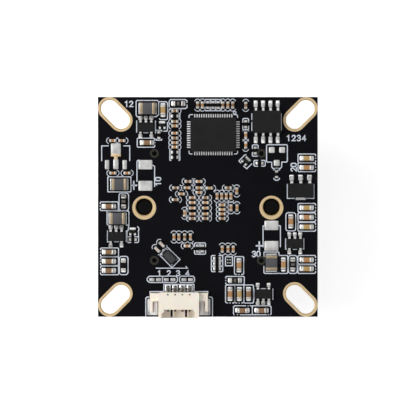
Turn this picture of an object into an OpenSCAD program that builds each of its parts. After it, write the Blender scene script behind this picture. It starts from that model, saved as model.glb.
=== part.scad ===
// Fixed-focus camera module: a square circuit board with its parts on the upper face
// and a lens in a bonded holder on the lower face. Millimetres, +Z towards the parts.
// The origin is the centre of the lens's front rim, on which the module stands.

/* [Board] */
// Width of the board along X
board_w = 38; // [38:0.5:44]
// Length of the board along Y
board_l = 38; // [38:0.5:44]
// Thickness of the board
board_t = 1.6; // [1.0:0.1:2.4]
// Thickness of the bare metal on each face
land_t = 0.05; // [0.03:0.01:0.1]
// Thickness of the metal that lines each hole
plate_t = 0.05; // [0.03:0.01:0.1]

/* [Corner slots] */
// Width of each slot
slot_w = 3.0; // [2.2:0.1:3.4]
// Distance from the board's edges to the outer end centre of a slot
slot_edge = 2; // [2:0.1:3]
// Length along each edge between a slot's two end centres
slot_run = 2; // [0.5:0.1:3]
// Width of the bare metal round each slot
slot_land = 0.55; // [0.3:0.05:0.6]

/* [Small holes] */
// Distance between two neighbouring small plated holes
via_pitch = 18.5; // [18:0.5:19.5]
// Bore of each small plated hole
via_d = 0.85; // [0.5:0.05:1]
// Width of the ring round each small hole
via_ring = 0.35; // [0.2:0.05:0.4]

/* [Lens holder] */
// Distance between the two pegs
peg_pitch = 22; // [21:0.5:23]
// Bore of the board's peg holes
peg_hole_d = 2.85; // [2.2:0.05:3]
// Play round each peg
peg_gap = 0.05; // [0.02:0.01:0.15]
// Width of the bare metal round each peg hole
peg_land = 0.68; // [0.4:0.02:0.7]
// Depth of a peg's end below the board's upper face
peg_sink = 0.2; // [0.05:0.05:0.6]
// Side of the square base
base_w = 20.5; // [20:0.5:22]
// Height of the base above the board
base_h = 5; // [4.4:0.1:5.6]
// Corner radius of the base
base_r = 2; // [0.5:0.1:2]
// Width of the ear round each peg
ear_w = 5.2; // [5:0.1:6]
// Height of each ear
ear_h = 3; // [2:0.1:3.5]
// Outer diameter of the holder's tube
tube_d = 14.4; // [14:0.1:15]
// Length of the lens's thread that the tube grips
grip = 8; // [6:0.25:8.5]
// Height of the chamber over the image sensor
chamber_h = 3.4; // [3:0.1:4]
// Side of the chamber
chamber_w = 12.4; // [11:0.1:13]
// Thickness of the web between the chamber and the tube
web_t = 0.8; // [0.6:0.1:1.2]
// Bore through the web
window_d = 7.4; // [6:0.1:8]
// Air between the lens's rear end and the web
focus_gap = 0.3; // [0.1:0.1:1]

/* [Lens] */
// Diameter of the thread
thread_d = 12; // [11:0.1:12.5]
// Play between the thread and the tube
thread_gap = 0.05; // [0.02:0.01:0.15]
// Diameter of the head
head_d = 14; // [13:0.1:15]
// Height of the head
head_h = 5; // [3:0.25:6]
// Diameter of the glass elements
glass_d = 9; // [8:0.1:9.6]
// Play round the glass elements
glass_gap = 0.03; // [0.02:0.01:0.1]
// Depth of the retaining ring below the rim
ring_depth = 1.2; // [0.8:0.1:2]
// Height of the retaining ring
ring_h = 1.2; // [0.8:0.1:1.6]
// Bore of the retaining ring and the spacers
ring_bore = 7.4; // [6.6:0.1:7.6]
// Edge thickness of the front element
front_edge = 1.4; // [1:0.1:1.8]
// Height of the spacer with the aperture stop
stop_h = 3; // [2.8:0.1:3.6]
// Bore of the aperture stop
stop_d = 3.2; // [2:0.1:4]
// Edge thickness of the middle element
middle_edge = 1.2; // [1:0.1:1.8]
// Height of the plain spacer
spacer_h = 2.6; // [2.4:0.1:3.4]
// Edge thickness of the rear element
rear_edge = 2; // [1.6:0.1:2.6]
// Length of the barrel behind the rear element
barrel_lip = 1.9; // [1.2:0.1:3]

/* [Image sensor] */
// Side of the sensor's package
sensor_w = 9; // [8:0.1:10]
// Height of the sensor's package
sensor_h = 1.1; // [1:0.05:1.4]
// Width of the sensor's die
die_w = 6.2; // [5:0.1:6.6]
// Length of the sensor's die
die_l = 4.8; // [4:0.1:6.6]
// Thickness of the cover glass and of the infrared filter
pane_t = 0.4; // [0.3:0.05:0.5]
// Side of the infrared filter
filter_w = 8.6; // [8.4:0.1:10]

/* [Chip parts] */
// Thickness of the solder under every part
solder_t = 0.06; // [0.04:0.01:0.1]
// Length of a small chip
small_l = 1.0; // [0.9:0.02:1.04]
// Width of a small chip
small_w = 0.5; // [0.4:0.02:0.54]
// Height of a small capacitor
small_h = 0.5; // [0.3:0.02:0.6]
// Height of a small resistor
res_h = 0.35; // [0.25:0.01:0.4]
// Length of the metal cap on a small chip
small_cap = 0.24; // [0.15:0.01:0.3]
// Reach of the solder beyond a small chip
small_run = 0.18; // [0.12:0.02:0.2]
// Length of a large chip
large_l = 1.6; // [1.5:0.02:1.64]
// Width of a large chip
large_w = 0.84; // [0.7:0.02:0.9]
// Height of a large capacitor or bead
large_h = 0.8; // [0.5:0.05:0.9]
// Height of the large resistor
large_res_h = 0.45; // [0.35:0.05:0.6]
// Length of the metal cap on a large chip
large_cap = 0.32; // [0.2:0.02:0.4]
// Reach of the solder beyond a large chip
large_run = 0.44; // [0.2:0.02:0.46]
// Thickness of a chip's metal cap
cap_t = 0.03; // [0.02:0.005:0.05]

/* [Power inductors] */
// Length of an inductor
ind_l = 2.5; // [2.3:0.05:2.55]
// Width of an inductor
ind_w = 2.0; // [1.8:0.05:2.05]
// Height of an inductor
ind_h = 1.2; // [0.9:0.05:1.5]
// Length of the metal at each end of an inductor
ind_cap = 0.45; // [0.3:0.05:0.6]
// Chamfer of an inductor core's upright corners
ind_chamfer = 0.2; // [0.1:0.02:0.3]
// Reach of the solder beyond an inductor
ind_run = 0.42; // [0.2:0.02:0.42]

/* [Controller] */
// Width of the controller's body
ctrl_w = 7.9; // [7.7:0.05:8.1]
// Length of the controller's body
ctrl_l = 5.9; // [5.7:0.05:6.1]
// Height of the controller's body
ctrl_h = 0.85; // [0.7:0.05:1]
// Spacing of the controller's terminals
ctrl_pitch = 0.4; // [0.38:0.01:0.42]
// Width of a controller terminal
ctrl_term = 0.2; // [0.16:0.01:0.24]
// Reach of the solder beyond the controller
ctrl_run = 0.55; // [0.3:0.05:0.6]

/* [Leaded chips] */
// Thickness of the leads
lead_t = 0.2; // [0.12:0.01:0.22]
// Length of the memory chip's body
mem_l = 4.9; // [4.7:0.05:5]
// Width of the memory chip's body
mem_w = 3.9; // [3.7:0.05:4]
// Height of the memory chip's body
mem_h = 1.5; // [1.2:0.05:1.7]
// Spacing of the memory chip's leads
mem_pitch = 1.27; // [1.2:0.01:1.3]
// Length of a switching regulator's body
reg_l = 2.9; // [2.8:0.05:3]
// Width of a switching regulator's body
reg_w = 1.7; // [1.5:0.05:1.8]
// Height of a switching regulator's body
reg_h = 1.1; // [0.9:0.05:1.3]
// Spacing of a switching regulator's leads
reg_pitch = 0.95; // [0.9:0.01:1]
// Length of the linear regulator's body
lin_l = 4.5; // [4.3:0.05:4.6]
// Width of the linear regulator's body
lin_w = 2.5; // [2.3:0.05:2.6]
// Height of the linear regulator's body
lin_h = 1.5; // [1.3:0.05:1.6]
// Spacing of the linear regulator's leads
lin_pitch = 1.55; // [1.5:0.01:1.6]

/* [Connector] */
// Number of contacts
ways = 4; // [4:1:4]
// Spacing of the contacts
contact_pitch = 1.25; // [1.2:0.01:1.27]
// Width of the socket's middle
socket_w = 7; // [6.8:0.1:7.2]
// Depth of the socket from front to back
socket_l = 4.5; // [4.3:0.1:4.7]
// Height of the socket
socket_h = 3.4; // [3.2:0.1:3.8]
// Distance by which the socket passes the board's edge
overhang = 0.2; // [0.1:0.05:0.6]
// Thickness of the socket's walls
wall = 0.55; // [0.45:0.05:0.6]
// Width of the ear on each side of the socket
wing_w = 1.5; // [1.4:0.05:1.6]
// Height of the ears
wing_h = 2.4; // [2:0.1:3]
// Thickness of a contact
pin_t = 0.32; // [0.25:0.01:0.4]
// Thickness of the solder nails
nail_t = 0.25; // [0.2:0.01:0.3]

/* [Printed legend] */
// Width of the printed lines
line_w = 0.18; // [0.12:0.01:0.2]
// Thickness of the printed lines
ink_t = 0.03; // [0.02:0.01:0.04]

/* [Hidden] */
$fn = 64;
eps = 0.01;

// Heights
seat_z = ring_depth + ring_h + front_edge + stop_h + middle_edge + spacer_h + rear_edge;
barrel_l = seat_z + barrel_lip;
web_z = barrel_l + focus_gap;
board_z = web_z + web_t + chamber_h;
top_z = board_z + board_t;
slot_x = board_w / 2 - slot_edge;
slot_y = board_l / 2 - slot_edge;
tube_z = barrel_l - grip;
peg_d = peg_hole_d - 2 * peg_gap;
bore_d = thread_d + 2 * thread_gap;
cell_d = glass_d + 2 * glass_gap;

// Colours
BOARD = [0.07, 0.07, 0.09];
GOLD = [0.88, 0.76, 0.56];
SOLDER = [0.86, 0.86, 0.86];
TIN = [0.78, 0.77, 0.74];
RESIN = [0.14, 0.14, 0.15];
PLASTIC = [0.05, 0.05, 0.05];
CREAM = [0.95, 0.91, 0.82];
INK = [0.85, 0.87, 0.9];
GLASS = [0.6, 0.75, 0.8];

// Board that the places below are laid out on, and how far they spread on this one
PLAN = [38, 38];
spread = [board_w / PLAN.x, board_l / PLAN.y];

// Places of the parts on the board: x, y and turn
SMALL_CAPS = [
    for (y = [16.6, 14.75, 14, 12.75, 11.9, 11.1, 10.35]) [-5.7, y, 0],
    for (x = [-1.75, -0.95, 2.6, 3.45, 4.3]) [x, 17.6, 90],
    for (y = [17.55, 12.4, 10.65]) [6.55, y, 90],
    for (x = [-16.45, -14.85]) [x, 11.45, 0],
    for (x = [-16.4, -13.95]) [x, 5.85, 0],
    for (x = [-2.65, -0.4], y = [1.6, 0.75, -0.2, -1.2, -2]) [x, y, 0],
    for (y = [0.35, -0.45, -1.2, -2]) [2.5, y, 0],
    for (x = [1.6, 2.4, 3.2, 4]) [x, 1.85, 90],
    for (x = [4, 5.05]) [x, -0.15, 90],
    for (x = [-5.85, -5, -4, -3]) [x, -5.2, 90],
    for (x = [2.5, 3.5, 4.4]) [x, -7.3, 90],
    [-3.4, 4.4, 0], [-1.5, 4.4, 0], [-5.55, 3.3, 0], [-3.55, 3.3, 0], [-1.5, 3.3, 0],
    [-1.5, 2.5, 0], [0.3, 3.25, 0], [3.55, 3.3, 0], [5, 2.75, 90], [-4.55, 2.25, 0],
    [-5.6, 1.25, 0], [-4, -1.1, 90], [-3.55, -6.75, 0],
    [-7.95, -6.5, -45], [-8.75, -7.4, -45],
];
SMALL_RESISTORS = [
    for (x = [0, 0.9, 1.8]) [x, 17.6, 90],
    for (y = [15.7, 9.45, 8.55]) [-5.7, y, 0],
    for (x = [-1.8, -0.9]) [x, -7.2, 90],
    for (y = [-8.9, -9.8, -10.7]) [1.6, y, 0],
    [6.55, 14.3, 90], [8.2, 9.75, 90], [8.95, 7.55, 0], [11.9, 5.65, 90],
    [-8.45, 12.4, 90], [-12.95, -5.65, 0],
];
LARGE_CAPS = [
    for (y = [8.4, 6.8]) [17.1, y, 0],
    for (y = [-0.15, -1.8, -3.45]) [17.1, y, 0],
    for (y = [-9.15, -10.7]) [17.1, y, 0],
    for (y = [0.1, -7.8, -9.4, -11]) [-17.1, y, 0],
    for (x = [6, 9.3]) [x, -17.9, 0],
    for (x = [3.85, 5.45, 7.05]) [x, -15.05, 90],
    [-10.5, 11.1, 0], [-7.75, 16.75, 90], [14.35, -2.5, 90], [13.05, -9.95, 90],
    [5.4, -10.1, 90],
];
LARGE_RESISTORS = [[-14.6, -10.1, 90]];
BEADS = [[-5.1, 17.85, 0], [-14.55, 0.95, 90], [14.7, -9.95, 90], [4.7, -12.7, 0]];
INDUCTORS = [[-10.4, 17, 0], [-15.3, 3.9, 0], [-15.6, -2, 0], [11, -9.65, 90]];
REGULATORS = [[-10.7, 13.8, 0], [-15.85, -5.1, 0], [15.05, -6.3, 0], [9.6, -15.05, 180]];
TRANSISTORS = [[-7.9, 14.15, 0], [-13, -4.25, 0], [6.6, 7.95, -45]];
CONTROLLER = [0.95, 12.5, 0];
MEMORY = [10.2, 14.7, 0];
LINEAR = [16.05, 2.85, 0];
CRYSTAL = [-6.6, -8.7, -45];
SOCKET_X = -5;

// Leads of a switching regulator: place along the body and side
REG_LEADS = [[-1, 1], [0, 1], [1, 1], [-1, -1], [1, -1]];

// Solder-coated bare pads: centre, width and length
BARE_PADS = [
    // two places for polarised capacitors
    [-10.8, 7.3, 2.4, 1.6], [-10.8, 3.65, 2.4, 1.7],
    [11, -3.2, 2.4, 1.6], [11, -6.75, 2.4, 1.7],
    // a place for a linear regulator, with the neck from its middle pad to its tab
    [-15.9, 9.9, 1.7, 2.2], [-15.9, 7.7, 0.9, 2.4], [-17.42, 7.3, 0.75, 1.6],
    [-14.38, 7.3, 0.75, 1.6],
    // a place for a transistor
    [11.05, 9.85, 1, 1], [12.85, 9.85, 1, 1], [11.9, 7.6, 1, 1],
];

// Bare pads of the small places behind the socket, from its middle: x, width and length
SOCKET_PADS = [for (x = [-4.1, -1.6, 1.45], s = [-1, 1]) [x + s * 0.58, 0.86, 0.56]];
socket_pads_y = 6.4;

// A tiny four-ball place: centre, spacing along X and Y, and diameter
BALLS = [[3.65, -9.4, 0]];
ball_pitch = [0.42, 0.52];
ball_d = 0.26;

// Printed frames: centre, width and length
FRAMES = [
    // round the inductors
    [-10.45, 17, 3.9, 2.6], [-15.35, 3.9, 4.1, 2.6], [-15.6, -2, 3.9, 2.5], [11, -9.65, 2.6, 3.7],
    // round the large chips that lie across the board
    for (y = [8.4, 6.8]) [17.12, y, 3.05, 1.55],
    for (y = [-0.15, -1.8, -3.45, -9.15, -10.7]) [17.12, y, 3.05, 1.55],
    for (y = [0.1, -7.8, -9.4, -11]) [-17.02, y, 3.15, 1.55],
    for (x = [6.05, 9.35]) [x, -17.9, 3.2, 1.5],
    [-10.65, 11.1, 3.05, 1.6], [4.68, -12.72, 3.25, 1.45],
    // round the large chips that lie along it
    for (x = [3.85, 5.45, 7.05]) [x, -15.05, 1.6, 3.1],
    [13.05, -9.95, 1.5, 3.1], [14.7, -9.95, 1.5, 3.1], [14.35, -2.55, 1.7, 3.15],
    [5.4, -10.1, 1.6, 3], [-14.53, 0.95, 1.65, 3.1], [-7.72, 16.75, 1.45, 3.1],
    // round the place for a transistor
    [11.95, 9.75, 3.6, 2],
];

// ---- helpers ----

// Puts children on the board's upper face at each place
module at(places) {
    for (p = places)
        translate([p[0] * spread.x, p[1] * spread.y, top_z])
            rotate(p[2])
                children();
}

// Repeats children for both ends of a part
module both_ends() {
    children();
    mirror([1, 0, 0]) children();
}

// Block centred in X and Y that stands on z
module block(size, z = 0) {
    translate([-size.x / 2, -size.y / 2, z])
        cube(size);
}

// Area of a straight bar with round ends
module bar_area(a, b, r) {
    d = b - a;
    translate(a) circle(r);
    translate(b) circle(r);
    translate(a)
        rotate(atan2(d.y, d.x))
            translate([0, -r])
                square([norm(d), 2 * r]);
}

// Area of a rectangle with rounded corners
module round_rect(size, r) {
    square([size.x - 2 * r, size.y], center = true);
    square([size.x, size.y - 2 * r], center = true);
    for (x = [-1, 1], y = [-1, 1])
        translate([x * (size.x / 2 - r), y * (size.y / 2 - r)])
            circle(r);
}

// Metal of a plated hole: a land on both faces and the lining between them. The
// children are the areas of the land, of the lining and of the opening.
module plating() {
    difference() {
        union() {
            for (z = [board_z - land_t, top_z])
                translate([0, 0, z])
                    linear_extrude(land_t) children(0);
            translate([0, 0, board_z])
                linear_extrude(board_t) children(1);
        }
        translate([0, 0, board_z - 1])
            linear_extrude(board_t + 2) children(2);
    }
}

// Area of the hollow slope that solder takes against a wall
module solder_slope(run, rise) {
    chord = norm([run, rise]);
    difference() {
        polygon([[0, 0], [run, 0], [0, rise]]);
        translate([run / 2 + rise * cos(30), rise / 2 + run * cos(30)])
            circle(chord);
    }
}

// Solder of one joint along +X: the film under the metal and the slope beyond it
module joint(width, under, run, rise) {
    translate([0, width / 2, 0])
        rotate([90, 0, 0])
            linear_extrude(width) {
                translate([-under, 0]) square([under + run, solder_t]);
                translate([0, solder_t]) solder_slope(run, rise);
            }
}

// ---- chip parts ----

// Ceramic or alumina block inside a chip's metal caps
module chip_core(size) {
    block([size.x - 2 * cap_t, size.y - 2 * cap_t, size.z - 2 * cap_t], solder_t + cap_t);
}

// The two metal caps, each open towards the middle and filled by the block
module chip_caps(size, cap) {
    both_ends()
        difference() {
            translate([size.x / 2 - cap, -size.y / 2, solder_t])
                cube([cap, size.y, size.z]);
            chip_core(size);
        }
}

// Solder at both ends of a chip
module chip_solder(size, cap, run) {
    both_ends()
        translate([size.x / 2, 0, 0])
            joint(size.y, cap, run, size.z * 0.6);
}

// Resistor layer with its dark glaze, on the block between the caps
module chip_glaze(size, cap) {
    block([size.x - 2 * cap, size.y - 2 * cap_t, cap_t], solder_t + size.z - cap_t);
}

small_cap_size = [small_l, small_w, small_h];
small_res_size = [small_l, small_w, res_h];
large_cap_size = [large_l, large_w, large_h];
large_res_size = [large_l, large_w, large_res_h];

module small_capacitor_bodies() {
    color([0.66, 0.45, 0.28]) at(SMALL_CAPS) chip_core(small_cap_size);
}

module small_capacitor_caps() {
    color(TIN) at(SMALL_CAPS) chip_caps(small_cap_size, small_cap);
}

module small_capacitor_solder() {
    color(SOLDER) at(SMALL_CAPS) chip_solder(small_cap_size, small_cap, small_run);
}

module small_resistor_bodies() {
    color("white") at(SMALL_RESISTORS) chip_core(small_res_size);
}

module small_resistor_glazes() {
    color(RESIN) at(SMALL_RESISTORS) chip_glaze(small_res_size, small_cap);
}

module small_resistor_caps() {
    color(TIN) at(SMALL_RESISTORS) chip_caps(small_res_size, small_cap);
}

module small_resistor_solder() {
    color(SOLDER) at(SMALL_RESISTORS) chip_solder(small_res_size, small_cap, small_run);
}

module large_capacitor_bodies() {
    color([0.7, 0.5, 0.28]) at(LARGE_CAPS) chip_core(large_cap_size);
}

module large_capacitor_caps() {
    color(TIN) at(LARGE_CAPS) chip_caps(large_cap_size, large_cap);
}

module large_resistor_body() {
    color("white") at(LARGE_RESISTORS) chip_core(large_res_size);
}

module large_resistor_glaze() {
    color(RESIN) at(LARGE_RESISTORS) chip_glaze(large_res_size, large_cap);
}

module large_resistor_caps() {
    color(TIN) at(LARGE_RESISTORS) chip_caps(large_res_size, large_cap);
}

module bead_bodies() {
    color([0.2, 0.2, 0.2]) at(BEADS) chip_core(large_cap_size);
}

module bead_caps() {
    color(TIN) at(BEADS) chip_caps(large_cap_size, large_cap);
}

module large_chip_solder() {
    color(SOLDER) {
        at(concat(LARGE_CAPS, BEADS)) chip_solder(large_cap_size, large_cap, large_run);
        at(LARGE_RESISTORS) chip_solder(large_res_size, large_cap, large_run);
    }
}

// ---- power inductors ----

// Moulded core with chamfered upright corners
module inductor_core() {
    l = ind_l - 2 * cap_t;
    translate([0, 0, solder_t + cap_t])
        linear_extrude(ind_h - 2 * cap_t)
            intersection() {
                square([l, ind_w], center = true);
                rotate(45) square((l + ind_w) / sqrt(2) - ind_chamfer, center = true);
            }
}

module inductor_cores() {
    color([0.36, 0.36, 0.38]) at(INDUCTORS) inductor_core();
}

module inductor_terminals() {
    color([0.78, 0.66, 0.48])
        at(INDUCTORS)
            both_ends()
                difference() {
                    translate([ind_l / 2 - ind_cap, -ind_w / 2, solder_t])
                        cube([ind_cap, ind_w, ind_h]);
                    inductor_core();
                }
}

module inductor_solder() {
    color(SOLDER)
        at(INDUCTORS)
            both_ends()
                translate([ind_l / 2, 0, 0])
                    joint(ind_w, ind_cap, ind_run, ind_h * 0.5);
}

// ---- controller: a leadless package with terminals along its four sides ----

// Places children at each terminal, with +X pointing out of the body
module ctrl_terminals() {
    for (side = [0, 180]) {
        for (i = [-8:8])
            rotate(side)
                translate([i * ctrl_pitch, ctrl_l / 2, 0])
                    rotate(90) children();
        for (i = [-5.5:5.5])
            rotate(side)
                translate([ctrl_w / 2, i * ctrl_pitch, 0])
                    children();
    }
}

// Metal terminal, flush with the body's side and underside
module ctrl_terminal() {
    translate([-0.4, -ctrl_term / 2, solder_t])
        cube([0.4, ctrl_term, 0.2]);
}

// Metal pad under the middle of the body
module ctrl_slug() {
    block([ctrl_w - 2.4, ctrl_l - 2.4, 0.2], solder_t);
}

module controller_body() {
    color(RESIN)
        at([CONTROLLER])
            difference() {
                block([ctrl_w, ctrl_l, ctrl_h], solder_t);
                ctrl_terminals() ctrl_terminal();
                ctrl_slug();
                // dot beside the first terminal
                translate([ctrl_w / 2 - 0.7, ctrl_l / 2 - 0.7, solder_t + ctrl_h - 0.04])
                    cylinder(d = 0.5, h = 1);
            }
}

module controller_terminals() {
    color(TIN)
        at([CONTROLLER]) {
            ctrl_terminals() ctrl_terminal();
            ctrl_slug();
        }
}

module controller_solder() {
    color(SOLDER)
        at([CONTROLLER]) {
            ctrl_terminals() joint(ctrl_term, 0.4, ctrl_run, 0.22);
            block([ctrl_w - 2.4, ctrl_l - 2.4, solder_t]);
        }
}

// ---- leaded chips ----

// Moulded body with drafted sides that meet at the parting line
module moulded(size, draft = 0.12) {
    z0 = solder_t + 0.08;
    h = size.z - 0.08;
    intersection() {
        translate([0, size.y / 2, 0])
            rotate([90, 0, 0])
                linear_extrude(size.y)
                    draft_area(size.x, h, draft, z0);
        translate([-size.x / 2, 0, 0])
            rotate([90, 0, 90])
                linear_extrude(size.x)
                    draft_area(size.y, h, draft, z0);
    }
}

// Side view of a moulded body
module draft_area(w, h, draft, z0) {
    translate([0, z0])
        polygon([
            [-w / 2 + draft, 0], [w / 2 - draft, 0], [w / 2, h / 2],
            [w / 2 - draft, h], [-w / 2 + draft, h], [-w / 2, h / 2],
        ]);
}

// Formed lead along +Y: out of the body at the parting line, down, and along the board
module lead(width, body_h, reach) {
    exit_z = solder_t + 0.08 + (body_h - 0.08) / 2 - lead_t / 2;
    knee = reach * 0.2;
    foot = reach * 0.5;
    translate([-width / 2, 0, 0])
        rotate([90, 0, 90])
            linear_extrude(width)
                polygon([
                    [-0.3, exit_z], [knee, exit_z], [foot, solder_t], [reach, solder_t],
                    [reach, solder_t + lead_t], [foot + lead_t / 2, solder_t + lead_t],
                    [knee + lead_t / 2, exit_z + lead_t], [-0.3, exit_z + lead_t],
                ]);
}

mem_lead_w = 0.42;
mem_reach = 1.1;

// Places children at each lead of the memory chip, with +Y pointing out of the body
module mem_leads() {
    for (side = [0, 180], i = [-1.5:1.5])
        rotate(side)
            translate([i * mem_pitch, mem_w / 2, 0])
                children();
}

module memory_body() {
    color(RESIN)
        at([MEMORY])
            difference() {
                moulded([mem_l, mem_w, mem_h]);
                mem_leads() lead(mem_lead_w, mem_h, mem_reach);
                translate([mem_l / 2 - 0.8, mem_w / 2 - 0.8, solder_t + mem_h - 0.06])
                    cylinder(d = 0.7, h = 1);
            }
}

module memory_leads() {
    color(TIN) at([MEMORY]) mem_leads() lead(mem_lead_w, mem_h, mem_reach);
}

// Solder under a lead's foot, along +Y, with the slope at the toe
module lead_solder(width, reach, run) {
    translate([0, reach, 0])
        rotate(90)
            joint(width + 0.14, reach * 0.5, run, lead_t * 0.9);
}

module memory_solder() {
    color(SOLDER) at([MEMORY]) mem_leads() lead_solder(mem_lead_w, mem_reach, 0.6);
}

reg_lead_w = 0.42;
reg_reach = 0.6;

// Places children at each lead of a switching regulator
module reg_leads() {
    for (l = REG_LEADS)
        translate([l[0] * reg_pitch, l[1] * reg_w / 2, 0])
            rotate(l[1] > 0 ? 0 : 180)
                children();
}

module regulator_bodies() {
    color(RESIN)
        at(REGULATORS)
            difference() {
                moulded([reg_l, reg_w, reg_h]);
                reg_leads() lead(reg_lead_w, reg_h, reg_reach);
            }
}

module regulator_leads() {
    color(TIN) at(REGULATORS) reg_leads() lead(reg_lead_w, reg_h, reg_reach);
}

module regulator_solder() {
    color(SOLDER) at(REGULATORS) reg_leads() lead_solder(reg_lead_w, reg_reach, 0.3);
}

// ---- linear regulator: three flat leads, of which the middle one is also the tab ----

lin_reach = 1.0;
lin_tab = 0.45;

module lin_metal() {
    for (i = [-1, 1])
        translate([i * lin_pitch - 0.22, lin_w / 2 - 0.3, solder_t])
            cube([0.44, 0.3 + lin_reach, 0.4]);
    translate([-0.27, 0, solder_t])
        cube([0.54, lin_w / 2 + lin_reach, 0.4]);
    translate([-0.85, -lin_w / 2 - lin_tab, solder_t])
        cube([1.7, lin_w / 2 + lin_tab + eps, 0.4]);
}

module linear_body() {
    color(RESIN)
        at([LINEAR])
            difference() {
                translate([0, 0, -0.08]) moulded([lin_l, lin_w, lin_h + 0.08], 0.15);
                lin_metal();
            }
}

module linear_leads() {
    color(TIN) at([LINEAR]) lin_metal();
}

module linear_solder() {
    color(SOLDER)
        at([LINEAR]) {
            for (i = [-1, 0, 1])
                translate([i * lin_pitch, lin_w / 2 + lin_reach, 0])
                    rotate(90)
                        joint(i == 0 ? 0.8 : 0.7, lin_reach, 0.45, 0.3);
            translate([0, -lin_w / 2 - lin_tab, 0])
                rotate(-90)
                    joint(1.7, lin_tab + 1, 0.2, 0.2);
        }
}

// ---- small transistors: one long terminal opposite two short ones ----

tr_l = 1.0;
tr_w = 0.56;
tr_h = 0.45;

module transistor_bodies() {
    color(RESIN) at(TRANSISTORS) block([tr_l, tr_w, tr_h], solder_t);
}

module transistor_solder() {
    color(SOLDER)
        at(TRANSISTORS) {
            translate([0, tr_w / 2, 0])
                rotate(90)
                    joint(1.05, 0.1, 0.36, 0.2);
            for (s = [-1, 1])
                translate([s * 0.4, -tr_w / 2, 0])
                    rotate(-90)
                        joint(0.32, 0.1, 0.36, 0.2);
        }
}

// ---- crystal: a ceramic tray with notched corners under a metal lid ----

xt_l = 2.5;
xt_w = 1.6;
xt_base_h = 0.35;
xt_lid_h = 0.3;
xt_notch = 0.2;

module crystal_base() {
    color([0.75, 0.7, 0.62])
        at([CRYSTAL])
            translate([0, 0, solder_t])
                linear_extrude(xt_base_h)
                    difference() {
                        square([xt_l, xt_w], center = true);
                        for (x = [-1, 1], y = [-1, 1])
                            translate([x * xt_l / 2, y * xt_w / 2])
                                circle(xt_notch);
                    }
}

module crystal_lid() {
    color([0.45, 0.45, 0.47])
        at([CRYSTAL])
            translate([0, 0, solder_t + xt_base_h])
                linear_extrude(xt_lid_h)
                    round_rect([xt_l - 0.44, xt_w - 0.44], 0.2);
}

module crystal_solder() {
    color(SOLDER)
        at([CRYSTAL])
            for (x = [-1, 1])
                translate([x * xt_l / 2, 0, 0])
                    for (y = [-1, 1])
                        translate([0, y * 0.5, 0])
                            rotate(x > 0 ? 0 : 180)
                                joint(0.62, 0.5, 0.2, 0.15);
}

// ---- socket: a side-entry housing, its contacts and the nails beside it ----

cavity_w = ways * contact_pitch + 0.6;
cavity_h = socket_h - 2 * wall;
back_y = socket_l - overhang;
pin_z = socket_h / 2;
tip_y = 0.95;
tail_y = back_y + 1.1;
notch_y = 1.35;
wing_y0 = 1;
wing_y1 = back_y - 0.15;
window_y = 2.75;
wing_wall = 0.5;
wing_floor = 0.9;
tab_w = 0.6;
guide_w = 0.38;
rib_w = 0.22;
rib_h = 1;

// Puts children in the socket's frame: the board's front edge is y = 0
module in_socket() {
    translate([SOCKET_X, -board_l / 2, top_z])
        children();
}

// X of each contact
function contact_x(i) = (i - (ways - 1) / 2) * contact_pitch;

// Contact: a straight pin that leaves the back wall, drops, and lies on its pad
module contact_area() {
    polygon([
        [tip_y, pin_z], [back_y + 0.25, pin_z], [back_y + 0.4, solder_t],
        [tail_y, solder_t], [tail_y, solder_t + pin_t], [back_y + 0.4 + pin_t, solder_t + pin_t],
        [back_y + 0.25 + pin_t, pin_z + pin_t], [tip_y + 0.15, pin_z + pin_t],
        [tip_y, pin_z + pin_t - 0.12],
    ]);
}

module contact_at(i, width) {
    translate([contact_x(i) - width / 2, 0, 0])
        rotate([90, 0, 90])
            linear_extrude(width) contact_area();
}

// Outline of the housing from above: a middle with bevelled mouth corners
module housing_area() {
    polygon([
        [-socket_w / 2 + 0.3, -overhang], [socket_w / 2 - 0.3, -overhang],
        [socket_w / 2, -overhang + 0.3], [socket_w / 2, back_y - 0.2],
        [socket_w / 2 - 0.2, back_y], [-socket_w / 2 + 0.2, back_y],
        [-socket_w / 2, back_y - 0.2], [-socket_w / 2, -overhang + 0.3],
    ]);
}

// Ear: a solid back, and a floor and an outer wall round the bay that holds a nail
module wing() {
    translate([socket_w / 2, wing_y0, 0])
        difference() {
            cube([wing_w, wing_y1 - wing_y0, wing_h]);
            translate([-eps, -1, wing_floor])
                cube([wing_w - wing_wall + eps, window_y - wing_y0 + 1, wing_h]);
        }
}

// Rib beside each guide slot, on the floor of the plug's cavity
module guide_ribs() {
    for (x = [-1, 1], s = [-1, 1])
        translate([x * contact_pitch + s * (guide_w + rib_w) / 2, 0, wall - eps])
            translate([-rib_w / 2, -overhang, 0])
                cube([rib_w, notch_y + overhang + 0.5, rib_h]);
}

module connector_housing() {
    color(CREAM)
        in_socket() {
            guide_ribs();
            difference() {
                union() {
                    linear_extrude(socket_h) housing_area();
                    both_ends() wing();
                }
                // plug's cavity, open at the mouth
                translate([-cavity_w / 2, -overhang - 1, wall])
                    cube([cavity_w, notch_y + overhang + 2, cavity_h]);
                // cut-out in the roof over the plug's catch, stepped wider at the mouth
                translate([0, 0, socket_h - wall - eps])
                    linear_extrude(wall + 1)
                        polygon([
                            [-2.55, notch_y], [-2.6, 0.9], [-2.95, 0.7], [-2.95, -overhang - 1],
                            [2.95, -overhang - 1], [2.95, 0.7], [2.6, 0.9], [2.55, notch_y],
                        ]);
                // two guide slots through the floor
                for (x = [-1, 1])
                    translate([x * contact_pitch - guide_w / 2, 0, -1])
                        cube([guide_w, notch_y, wall + 2]);
                // pits in the roof over the contacts' roots
                for (i = [0:ways - 1])
                    translate([contact_x(i) - 0.15, back_y - 0.5, socket_h - 0.5])
                        cube([0.3, 0.25, 1]);
                for (i = [0:ways - 1])
                    contact_at(i, pin_t);
            }
        }
}

module connector_contacts() {
    color(TIN)
        in_socket()
            for (i = [0:ways - 1])
                contact_at(i, pin_t);
}

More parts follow.
